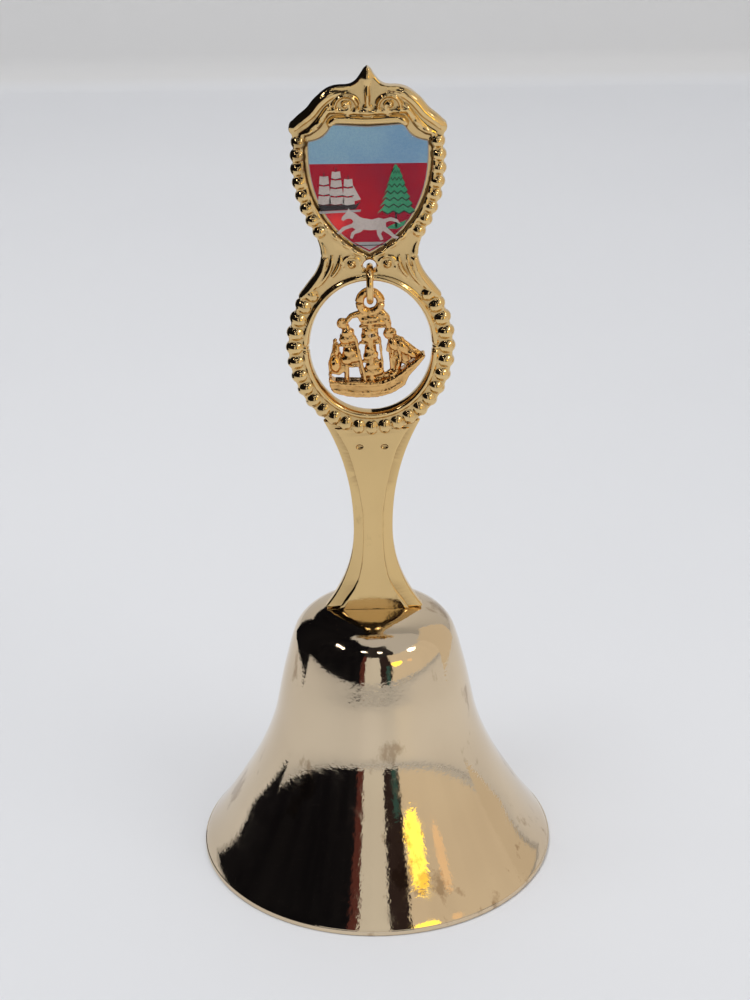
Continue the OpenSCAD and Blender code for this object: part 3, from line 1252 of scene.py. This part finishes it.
    def horse(self) -> list[Object]:
        """A plain running horse over a strip of ground."""
        shape = [(-0.1, 3.0), (0.05, 3.4), (0.75, 4.1), (0.95, 4.6), (1.2, 4.2), (1.95, 3.8),
                 (2.5, 3.35),
                 (3.0, 3.15), (4.2, 2.95), (5.2, 3.2), (5.85, 3.0), (6.9, 3.25), (7.8, 2.95),
                 (8.2, 2.3),
                 (7.5, 2.6), (6.7, 2.75), (6.15, 2.5), (6.2, 1.9), (6.9, 1.25), (7.5, 0.65),
                 (8.0, 0.45),
                 (7.95, 0.2), (7.3, 0.25), (6.5, 0.9), (5.75, 1.35), (5.45, 0.95), (5.8, 0.15),
                 (5.4, 0.0),
                 (4.95, 0.8), (4.85, 1.5), (4.0, 1.45), (3.0, 1.55), (2.6, 1.2), (1.75, 0.95),
                 (1.45, 0.3),
                 (1.1, 0.38), (1.3, 1.15), (1.9, 1.6), (1.4, 1.9), (0.4, 1.55), (-0.45, 0.9),
                 (-0.75, 1.12),
                 (0.1, 1.95), (1.4, 2.4), (1.6, 2.75), (1.35, 3.05), (1.0, 3.15), (0.55, 3.05),
                 (0.2, 2.8)]
        horse = [(-3.5 + 0.92 * x, 53.6 + 0.95 * z) for x, z in shape]
        ground = self.band(self.foot_z, 53.4, 0.35)
        line = [(-2.2, 53.0), (2.3, 53.05), (2.2, 52.93), (-2.1, 52.88)]
        return [self.patch(horse, InkName.SAIL, 3), self.patch(ground, InkName.GROUND, 2),
                self.patch(line, InkName.DARK, 3)]

    def build(self, finishes: Finishes) -> list[Object]:
        """Make the printed plate and the dome.

        Args:
            finishes: The bell's finishes.

        Returns:
            Both pieces.
        """
        self.mix_inks()
        base = plate("print_base", self.outline(), self.surface, self.handle.recess_y, 0.04)
        base.data.materials.append(self.inks[InkName.GROUND])
        parts = [base,
                 self.patch(self.band(self.foot_z, self.horizon, self.margin), InkName.FIELD, 0),
                 self.patch(self.band(self.horizon, self.head_z, self.margin), InkName.SKY, 1)]
        printed = join(parts + self.ship() + self.tree() + self.horse())
        lift(printed, self.handle.crown_z)
        printed = finish_piece(printed, "printed_shield", "bell", [], ["emblem_plate"])
        return [printed, self.dome(finishes)]

    def dome(self, finishes: Finishes) -> Object:
        """The clear dome: rings that close in on its middle, lifted like a drop of resin.

        Args:
            finishes: The bell's finishes.

        Returns:
            The finished dome.
        """
        dome = flat_loop("dome", self.outline(), self.surface - 0.1)
        edit_all(dome)
        bpy.ops.mesh.extrude_region_move(TRANSFORM_OT_translate={"value": (0, -0.1, 0)})
        share = 1.0
        for ring in (0.99, 0.975, 0.955, 0.93, 0.9, 0.86, 0.81, 0.75, 0.67, 0.57, 0.44, 0.28, 0.12):
            bpy.ops.mesh.extrude_region_move(TRANSFORM_OT_translate={"value": (0, 0, 0)})
            bpy.ops.transform.resize(value=(ring / share, 1, ring / share),
                                     center_override=(0, 0, self.mid_z))
            rise = (self.dome_h - 0.2) * (self.swell(ring) - self.swell(share))
            bpy.ops.transform.translate(value=(0, -rise, 0))
            share = ring
        bpy.ops.object.mode_set(mode="OBJECT")
        lift(dome, self.handle.crown_z)
        face_outwards(dome)
        return finish_piece(dome, "clear_dome", "bell", [finishes.resin],
                            ["emblem_dome"], 80)

    @staticmethod
    def swell(share: float) -> float:
        """Height of the dome, 0 to 1, at a share of the way out to its edge."""
        return 0.8 * math.sqrt(1 - share ** 6) + 0.2 * (1 - share * share)


# ---------------------------------------------------------------- the charm


@dataclass
class Charm:
    """Jump ring and ship charm.

    Attributes:
        ring_mid: Centre of the jump ring.
        ring_r: Radius of its wire's centreline.
        wire_r: Radius of its wire.
        loop_z: Height of the centre of the charm's loop.
        grain: Size of the cells that the ship is cast from.
    """

    ring_mid: Vector
    ring_r: float
    wire_r: float
    loop_z: float
    grain: float = 0.085

    def jump_ring(self, finishes: Finishes) -> Object:
        """The jump ring, with the seam where its wire ends meet."""
        ring = seamed_ring("jump_ring_wire", self.ring_mid, self.ring_r, self.wire_r)
        return finish_piece(ring, "jump_ring_wire", "jump_ring", [finishes.ring],
                            ["charm_jump_ring"])

    def sail(self, x: float, z: float, top: float, foot: float, height: float,
             belly: float = 0.5) -> Object:
        """One billowed sail.

        Args:
            x: Its middle.
            z: Its lower edge, above the loop's centre.
            top: Width of its upper edge.
            foot: Width of its lower edge.
            height: Its height.
            belly: Half its thickness.

        Returns:
            The new object.
        """
        outline = [(x - foot / 2, z), (x, z + 0.22), (x + foot / 2, z),
                   (x + top * 0.56, z + height * 0.5),
                   (x + top / 2, z + height), (x, z + height - 0.1), (x - top / 2, z + height),
                   (x - top * 0.6, z + height * 0.5)]
        sail = plate("sail", outline, -belly * 0.7, belly * 0.7, 0.25, 4)
        puffs = [ball("puff", (x + 0.16 * foot * lean, side * belly * 0.55, z + height * rise),
                      (foot * 0.34, belly * 0.95, height * 0.27))
                 for lean, rise, side in ((-1, 0.36, -1), (0.9, 0.44, -1), (-0.2, 0.74, -1),
                                          (0.8, 0.34, 1), (-0.8, 0.46, 1), (0.2, 0.74, 1))]
        yard = tube("yard",
                    [(x - foot * 0.54, z, 0.2), (x, z - 0.03, 0.24), (x + foot * 0.54, z, 0.2)],
                    deep=2.0)
        return join([sail, yard, *puffs])

    def masts(self) -> list[Object]:
        """Masts, tops, spars and shrouds."""
        def rope(a: Point2, b: Point2, r: float = 0.17, y: float = 0.0) -> Object:
            """A straight line of rigging."""
            mid = ((a[0] + b[0]) / 2, (a[1] + b[1]) / 2)
            return tube("rope", [(*a, r), (*mid, r * 1.1), (*b, r)], y=y, deep=1.3)

        def top(x: float, z: float, size: float) -> list[Object]:
            """The furled top of a mast: a knot with smaller ones round it."""
            knots = [ball("top", (x, 0, z), (size, 0.62, size))]
            for turn in (20, 110, 200, 290):
                a = math.radians(turn)
                knots.append(ball("knot", (x + 0.62 * size * math.cos(a), -0.3 + 0.6 * (turn > 150),
                                           z + 0.62 * size * math.sin(a)),
                                  (0.45 * size, 0.4, 0.38 * size)))
            return knots

        spars = [rope(*ends) for ends in (
            ((-3.1, -3.4), (-3.3, -11.3), 0.34), ((-0.1, -1.5), (0.1, -11.4), 0.5),
            ((2.6, -4), (2.9, -10.8), 0.3), ((-2.0, -5.0), (-0.7, -11.3), 0.2, -0.4),
            ((-1.6, -8.4), (-1.0, -11.3), 0.24, 0.2), ((1.2, -5.0), (1.7, -10.8), 0.17),
            ((-3.5, -3.0), (-2.5, -1.9), 0.34), ((-2.5, -1.9), (-1.2, -1.5), 0.4),
            ((1.5, -1.3), (2.2, -2.2), 0.45), ((2.2, -2.2), (2.4, -3.4), 0.42),
            ((2.6, -4.2), (6.9, -7.4), 0.2), ((3.0, -7.9), (5.2, -8.8), 0.26),
            ((-4.7, -5.3), (-5.5, -10.2), 0.22), ((-4.8, -5.4), (-3.4, -9.8), 0.22))]
        return [*top(-3.7, -2.95, 0.8), *top(2.55, -4.4, 0.9), *top(2.2, -2.6, 0.5),
                ball("top", (-0.7, -0.35, -2.3), (0.55, 0.45, 0.42)), *spars]

    def sails(self) -> list[Object]:
        """All the sails."""
        thin, thick, soft = 0.35, 0.45, (0.25, 4)
        spanker = plate("spanker",
                        [(-4.85, -5.2), (-4.6, -5.3), (-4.1, -7.4), (-3.3, -9.6), (-4.3, -10.2),
                         (-5.6, -9.9), (-5.75, -8.6), (-5.3, -7.2)], -thin, thin, *soft)
        jib = plate("jib",
                    [(2.3, -5.2), (3.2, -4.75), (4.3, -5.0), (5.4, -6.0), (6.6, -7.3), (4.7, -8.6),
                     (3.2, -7.5), (2.0, -6.9)], -thin, thin, *soft)
        stay = plate("stay", [(2.6, -7.0), (4.2, -7.9), (4.0, -9.3), (3.3, -10.4), (1.7, -10.6),
                              (1.8, -10.0), (2.8, -9.3), (2.9, -8.3)], -thick, thick, *soft)
        folds = [smooth_path([(3.0, -5.3, 0.14), (3.7, -6.6, 0.24), (4.0, -8.2, 0.14)]),
                 smooth_path([(4.2, -5.6, 0.14), (5.0, -6.8, 0.22), (5.2, -8.0, 0.12)]),
                 smooth_path([(2.7, -5.7, 0.12), (2.9, -6.9, 0.2), (2.8, -7.6, 0.12)]),
                 smooth_path([(3.9, -8.2, 0.12), (3.6, -9.4, 0.2), (2.6, -10.3, 0.12)])]
        ridges = [tube("fold", fold, y=y) for fold in folds for y in (-0.45, 0.45)]
        swells = [ball("swell", (x, side * 0.3, z), (wide, 0.6, tall), lean=lean)
                  for side in (-1, 1) for x, z, wide, tall, lean in (
                      (-4.75, -8.5, 0.75, 1.2, 0), (-4.55, -6.6, 0.4, 1.0, 0),
                      (3.0, -5.9, 0.6, 1.0, 20),
                      (4.3, -6.3, 0.65, 1.25, 35), (5.5, -7.2, 0.5, 0.8, 45),
                      (3.55, -8.7, 0.4, 0.9, -10),
                      (2.9, -10.0, 0.7, 0.4, 20))]
        squares = [self.sail(*row) for row in (
            (-3.0, -6.0, 1.5, 2.4, 2.4), (-2.7, -8.9, 1.9, 2.7, 2.7), (0.4, -3.4, 3.0, 3.3, 1.7),
            (-0.05, -5.7, 2.0, 2.4, 2.2), (0.0, -8.3, 1.5, 2.1, 2.3), (0.3, -10.7, 1.7, 2.9, 2.4))]
        return [*swells, *squares, spanker, jib, stay, *ridges]

    def hull(self) -> list[Object]:
        """The hull with its rail, bowsprit and deck."""
        side = ([(-5.7, -10.3), (-5.5, -11.6)]
                + bezier([(-5.1, -12.45), (-3.0, -13.45), (2.4, -13.85), (4.5, -11.45)], 14)
                + bezier([(4.6, -11.25), (4.9, -10.2), (6.2, -9.0), (7.2, -7.7)], 6)
                + [(7.3, -7.35), (7.0, -7.15), (5.0, -8.7), (3.2, -10.2), (0.6, -11.0),
                   (-4.9, -10.9)])
        body = plate("hull", side, -1.0, 1.0, 0.42, 5)
        rail = smooth_path([(-5.4, -11.1, 0.18), (-2, -11.4, 0.18), (1.6, -11.2, 0.18),
                            (4.0, -10.0, 0.17),
                            (6.8, -7.55, 0.16)])
        strake = smooth_path([(-5.1, -12.0, 0.12), (-2, -12.45, 0.12), (1.8, -12.3, 0.12),
                              (4.0, -11.1, 0.12)])
        lines = [tube("rail", rail, y=y) for y in (-0.92, 0.92)]
        lines += [tube("strake", strake, y=y) for y in (-0.98, 0.98)]
        stern = tube("stern", [(-5.45, -9.9, 0.24), (-5.45, -11, 0.28), (-5.2, -12.0, 0.24)],
                     deep=3.4)
        planks = [ball("plank", (x, side * 0.5, -12.35 + rise), (1.9, 0.62, 0.55), lean=lean)
                  for side in (-1, 1) for x, rise,
                  lean in ((-3.6, 0.1, -6), (-0.6, -0.15, 0), (2.2, 0.15, 12))]
        return [body, *lines, *planks, stern]

    def build(self, finishes: Finishes) -> list[Object]:
        """Make the jump ring and the ship.

        Args:
            finishes: The bell's finishes.

        Returns:
            Both pieces.
        """
        loop = tube("loop", swirl((0, 0), 1.39, 1.39, 0.61, range(0, 360, 8)), closed=True, fine=5)
        yoke = plate("yoke", [(-1.5, -1.3), (1.5, -1.3), (2.2, -2.2), (2.0, -3.2), (-1.5, -2.7),
                              (-1.7, -2.0)],
                     -0.55, 0.55, 0.3, 4)
        join([loop, yoke, *self.hull(), *self.masts(), *self.sails()])
        cast_soft(loop, self.grain, 2, 0.7)
        lumps = bpy.data.textures.new("cast_lumps", "CLOUDS")
        lumps.noise_scale = 0.85
        apply_modifier(loop, "DISPLACE", texture=lumps, strength=0.22, mid_level=0.5,
                       texture_coords="LOCAL")
        combine(loop,
                [bolt_hole("eye", 0, 0, 0.78, 3), ball("gap", (0.05, 0, -4.5), (0.36, 2, 0.28))],
                "DIFFERENCE")
        lift(loop, self.loop_z)
        ship = finish_piece(loop, "charm_ship", "charm", [finishes.charm],
                            ["ship_charm"], 40)
        return [self.jump_ring(finishes), ship]


# ---------------------------------------------------------------- the clapper and its fixings


@dataclass
class Clapper:
    """Fixings under the crown, and the clapper that hangs from them.

    Attributes:
        bolt_r: Radius of the eye bolt's shank.
        eye_wire: Radius of the wire of its eye.
        link_wire: Radius of the link's wire.
        wire_r: Radius of the clapper's wire.
        pitch: From one turn of the thread to the next.
        thread: Depth of the thread.
    """

    bolt_r: float = 0.98
    eye_wire: float = 0.8
    link_wire: float = 0.45
    wire_r: float = 0.5
    pitch: float = 0.35
    thread: float = 0.13

    def threads(self, low: float, high: float, crest: float) -> list[Point2]:
        """The thread's side, from one height to another.

        Args:
            low: Where it starts.
            high: Where it ends.
            crest: Radius of its crests.

        Returns:
            Points from the bottom up.
        """
        turns = int((high - low) / self.pitch)
        side = []
        for i in range(turns):
            side += [(crest - self.thread, low + self.pitch * i),
                     (crest, low + self.pitch * (i + 0.5))]
        return side + [(crest - self.thread, low + self.pitch * turns)]

    def washer(self) -> Object:
        """The washer, its rim rolled over."""
        low, high = node_box("crown_washer")
        z, top, r = low.z, high.z, high.x
        return lathe("washer_disc", [(1.12, z + 0.08), (1.2, z), (r - 0.25, z),
                                     (r - 0.08, z + 0.05), (r, z + 0.16),
                                     (r, top - 0.1), (r - 0.1, top), (1.12, top)])

    def nut(self) -> Object:
        """The hexagonal nut, chamfered and tapped."""
        low, high = node_box("crown_nut")
        z, top, r = low.z, high.z, high.x
        nut = lathe("hex_nut", [(0, z), (r, z), (r, top), (0, top)], 6)
        round_r = r * 0.87
        turned = lathe("turned", [(0, z), (round_r, z), (r + 0.02, z + 0.22),
                                  (r + 0.02, top - 0.22), (round_r, top), (0, top)], 72)
        combine(nut, [turned], "INTERSECT")
        tap = self.threads(z + 0.2, top + 0.6, self.bolt_r + 0.06)
        drill = [(0, z - 0.3), (self.bolt_r + 0.3, z - 0.3)] + tap + [(0, top + 0.6)]
        return combine(nut, [lathe("tap", drill, 48)], "DIFFERENCE")

    def bolt(self) -> Object:
        """The eye bolt: a threaded shank on an eye."""
        low, high = node_box("clapper_eye_bolt")
        r = high.x - self.eye_wire
        mid = low.z + high.x
        eye = tube("bent_eye_bolt", swirl((0, mid), r, r, self.eye_wire, range(0, 360, 8)),
                   closed=True, fine=6)
        neck = mid + r
        shank = lathe("shank",
                      [(0, neck - 0.2), (self.bolt_r, neck - 0.1), (self.bolt_r, neck + 1.1)]
                      + self.threads(neck + 1.25, high.z - 0.2, self.bolt_r)
                      + [(self.bolt_r - 0.25, high.z), (0, high.z)], 48)
        return combine(eye, [shank])

    def wire(self) -> Object:
        """The clapper's wire, bent to an eye at its top."""
        low, high = node_box("clapper_wire")
        r = high.x - self.wire_r
        mid = high.z - high.x
        bend = swirl((0, mid), r, r, self.wire_r, range(-42, 262, 8))
        rod = [(0.0, mid - r - step, self.wire_r) for step in (0.35, 1.0, 6.0, 12.0)]
        return tube("bent_wire", bend + rod + [(0.0, low.z + self.wire_r, self.wire_r)], fine=6)

    def knob(self) -> Object:
        """The clapper's ball, drilled for the wire, with its casting seam."""
        low, high = node_box("clapper_ball")
        r, mid = high.x, (low.z + high.x)
        foot = node_box("clapper_wire")[0].z
        side = [(r * math.cos(math.radians(a)), mid + r * math.sin(math.radians(a)))
                for a in range(-85, 76, 5)]
        section = [(0, mid - r)] + side + [(self.wire_r + 0.3, mid + r - 0.2),
                                           (self.wire_r, mid + r - 0.5),
                                           (self.wire_r, foot), (0, foot)]
        knob = lathe("clapper_knob", section)
        seam = tube("seam", [(x * (r - 0.05) / r, mid + (z - mid) * (r - 0.05) / r, 0.07)
                             for x, z in both_sides(side[::-1])], closed=True)
        return combine(knob, [seam])

    def build(self, finishes: Finishes) -> None:
        """Make the fixings and the clapper.

        Args:
            finishes: The bell's finishes.
        """
        low, high = node_box("clapper_link")
        link = seamed_ring("link_ring", (low + high) / 2, (high.z - low.z) / 2 - self.link_wire,
                           self.link_wire)
        for piece, name, body, node in ((self.washer(), "washer_disc", "bell", "crown_washer"),
                                        (self.nut(), "hex_nut", "bell", "crown_nut"),
                                        (self.bolt(), "bent_eye_bolt", "bell", "clapper_eye_bolt"),
                                        (link, "link_ring", "link", "clapper_link"),
                                        (self.wire(), "bent_wire", "clapper", "clapper_wire")):
            finish_piece(piece, name, body, [finishes.steel], [node])
        finish_piece(self.knob(), "clapper_knob", "clapper", [finishes.ball],
                     ["clapper_ball"])


# ---------------------------------------------------------------- the studio


@dataclass
class Studio:
    """Plain pale sweep, soft lights and the camera.

    Attributes:
        eye: Where the camera stands, in metres.
        pitch: How far it looks down, in degrees.
        roll: How far it leans, in degrees.
        lens: Its focal length, in millimetres.
        wall_y: Where the floor meets the wall.
        wall_h: Height of the wall.
        sensor: Width of the camera's sensor, in millimetres.
        aim_z: Height that every light is turned to.
        air: Strength of the light from all round.
    """

    eye: Point3 = (0.0003, -0.2513, 0.1685)
    pitch: float = 24.42
    roll: float = -0.75
    lens: float = 72.0
    wall_y: float = 0.5
    wall_h: float = 1.5
    sensor: float = 36.0
    aim_z: float = 0.04
    air: float = 0.6

    def sweep(self) -> Object:
        """The floor and the wall behind it, in one bent sheet."""
        clear_selection()
        bpy.ops.mesh.primitive_plane_add(size=2)
        sheet = bpy.context.object
        sheet.name = "floor_sweep"
        for vertex in sheet.data.vertices:
            vertex.co.x *= 3
            vertex.co.y = self.wall_y if vertex.co.y > 0 else -3
        edit_all(sheet)
        bpy.ops.mesh.select_all(action="DESELECT")
        bpy.ops.object.mode_set(mode="OBJECT")
        for edge in sheet.data.edges:
            ends = [sheet.data.vertices[v].co.y for v in edge.vertices]
            edge.select = min(ends) > 0
        bpy.ops.object.mode_set(mode="EDIT")
        bpy.ops.mesh.select_mode(type="EDGE")
        bpy.ops.mesh.extrude_region_move(TRANSFORM_OT_translate={"value": (0, 0, self.wall_h)})
        bpy.ops.object.mode_set(mode="OBJECT")
        apply_modifier(sheet, "BEVEL", width=0.012, segments=6, limit_method="ANGLE")
        sheet.data.materials.append(Paper("sweep_paper", tint(0.76, 0.77, 0.795),
                                          tint(0.74, 0.75, 0.775),
                                          tint(0.71, 0.705, 0.70)).build())
        bpy.ops.object.shade_smooth()
        return sheet

    def card(self, name: str, turn: Point2, rise: Point2, radius: float, colour: Colour,
             glow: float = 1.0, rounded: bool = False) -> Object:
        """A curved card in front of the bell that only shows in reflections.

        Args:
            name: Its name.
            turn: Its two edges, in degrees to the right of straight ahead.
            rise: Heights of its lower and upper edge.
            radius: How far it stands from the bell.
            colour: Its colour.
            glow: How brightly it glows.
            rounded: True for an oval card.

        Returns:
            The card.
        """
        clear_selection()
        if rounded:
            bpy.ops.mesh.primitive_circle_add(vertices=40, radius=1, fill_type="TRIFAN")
        else:
            steps = max(2, int(abs(turn[1] - turn[0]) / 4))
            bpy.ops.mesh.primitive_grid_add(x_subdivisions=steps, y_subdivisions=2, size=2)
        card = bpy.context.object
        card.name = name
        for vertex in card.data.vertices:
            a = math.radians(turn[0] + (turn[1] - turn[0]) * (vertex.co.x + 1) / 2)
            z = rise[0] + (rise[1] - rise[0]) * (vertex.co.y + 1) / 2
            vertex.co = (radius * math.sin(a), -radius * math.cos(a), z)
        sheet = NodeSheet(name)
        streak = sheet.noise(14.0, 3.0, stretch=(1.0, 1.0, 0.2))
        shade = sheet.blend(sheet.ramp(streak, 0.4, 0.66, 0.0, 0.04), colour, tint(0.1, 0.1, 0.11))
        card.data.materials.append(sheet.surface(Base_Color=tint(0.0, 0.0, 0.0), Roughness=1.0,
                                                 Specular_IOR_Level=0.0, Emission_Color=shade,
                                                 Emission_Strength=glow))
        card.visible_camera = False
        card.visible_diffuse = False
        card.visible_shadow = False
        card.visible_transmission = False
        return card

    def light(self, name: str, place: Point3, size: float, power: float, colour: Point3) -> Object:
        """A soft square light that looks at the bell.

        Args:
            name: Its name.
            place: Where it hangs.
            size: Its width.
            power: Its power in watts.
            colour: Its colour.

        Returns:
            The light.
        """
        clear_selection()
        bpy.ops.object.light_add(type="AREA", location=place)
        lamp = bpy.context.object
        lamp.name = name
        lamp.data.size = size
        lamp.data.energy = power
        lamp.data.color = colour
        look = Vector((0, 0, self.aim_z)) - Vector(place)
        lamp.rotation_euler = look.to_track_quat("-Z", "Y").to_euler()
        return lamp

    def build(self) -> None:
        """Set up the sweep, the cards, the lights and the camera."""
        self.sweep()
        world = bpy.data.worlds.new("studio_air")
        bpy.context.scene.world = world
        world.use_nodes = True
        world.node_tree.nodes["Background"].inputs["Color"].default_value = tint(0.94, 0.96, 1.0)
        world.node_tree.nodes["Background"].inputs["Strength"].default_value = self.air
        for name, place, size, power in (("overhead", (-0.16, -0.06, 0.8), 0.34, 2.9),
                                         ("fill", (0.7, -0.5, 0.6), 0.6, 1.3)):
            self.light(name, place, size, power, (1.0, 0.98, 0.95)).visible_glossy = False
        black, brown = tint(0.005, 0.005, 0.007), tint(0.10, 0.032, 0.028)
        dim, teal, white = tint(0.03, 0.02, 0.02), tint(0.04, 0.10, 0.10), tint(1.0, 0.99, 0.96)
        pale, above = tint(0.70, 0.70, 0.68), tint(0.03, 0.028, 0.03)
        warm, warm_side = tint(0.79, 0.71, 0.59), tint(0.74, 0.66, 0.54)
        yellow, amber = tint(1.0, 0.76, 0.13), tint(1.0, 0.75, 0.5)
        low, high = 0.035, 0.62
        for row in (("dark_card", (-106, -19), (0.022, 2.3), 0.6, black),
                    ("side_card", (-142, -94), (0.007, 0.4), 0.13, black),
                    ("back_card", (-180, -142), (0.09, 0.5), 0.13, black),
                    ("brown_card", (-19, -13), (low, high), 0.6, brown),
                    ("pale_card", (-13, 7), (low, high), 0.62, pale),
                    ("dim_card", (7, 22), (low, high), 0.6, dim),
                    ("top_card", (-19, 34), (high, 2.3), 0.61, above),
                    ("teal_card", (15, 20), (0.03, 0.2), 0.59, teal),
                    ("warm_card", (22, 106), (low, 0.7), 0.6, warm, 0.95),
                    ("warm_side_card", (94, 132), (0.007, 0.2), 0.14, warm_side, 0.95)):
            self.card(*row)
        for row in (("yellow_card", (22.5, 38), (0.165, 0.305), 0.57, yellow, 2.6),
                    ("amber_card", (46, 53), (0.18, 0.28), 0.57, amber, 1.08),
                    ("lamp_left", (-84, -62), (0.46, 0.52), 0.35, white, 7.0),
                    ("lamp_mid", (-30, -16), (0.6, 0.66), 0.36, white, 9.0),
                    ("lamp_right", (6, 16), (0.55, 0.6), 0.34, white, 9.0),
                    ("window_card", (58, 74), (0.52, 0.66), 0.57, white, 8.0)):
            self.card(*row, rounded=True)
        self.camera()
        bpy.context.scene.view_settings.view_transform = "Standard"

    def camera(self) -> None:
        """The camera, pitched down and leaning a little."""
        data = bpy.data.cameras.new("camera")
        camera = bpy.data.objects.new("camera", data)
        bpy.context.scene.collection.objects.link(camera)
        data.lens = self.lens
        data.sensor_width = self.sensor
        data.clip_start = 0.01
        data.clip_end = 50
        camera.location = self.eye
        camera.rotation_mode = "XYZ"
        turn = Vector((math.radians(90 - self.pitch), 0, 0))
        camera.rotation_euler = turn
        camera.rotation_euler.rotate_axis("Z", math.radians(self.roll))
        bpy.context.scene.camera = camera


def node_box(name: str) -> tuple[Vector, Vector]:
    """A CAD node's lowest and highest corners, in millimetres."""
    low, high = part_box(name)
    return low / MM, high / MM


def main() -> None:
    """Build the bell from the cup up, then the studio."""
    logging.basicConfig(level=logging.INFO, format="%(name)s: %(message)s")
    finishes = Finishes.make()
    shell_high = node_box("bell_shell")[1]
    Cup(mouth_r=shell_high.x, crown_z=shell_high.z).build(finishes)
    handle = Handle(crown_z=shell_high.z)
    handle.build(finishes)
    Emblem(handle=handle).build(finishes)
    ring_low, ring_high = node_box("charm_jump_ring")
    wire_r = (ring_high.x - ring_low.x) / 2
    charm_high = node_box("ship_charm")[1]
    loop_r = 2.0
    Charm(ring_mid=(ring_low + ring_high) / 2, ring_r=(ring_high.z - ring_low.z) / 2 - wire_r,
          wire_r=wire_r, loop_z=charm_high.z - loop_r).build(finishes)
    Clapper().build(finishes)
    Studio().build()


if __name__ == "__main__":
    main()
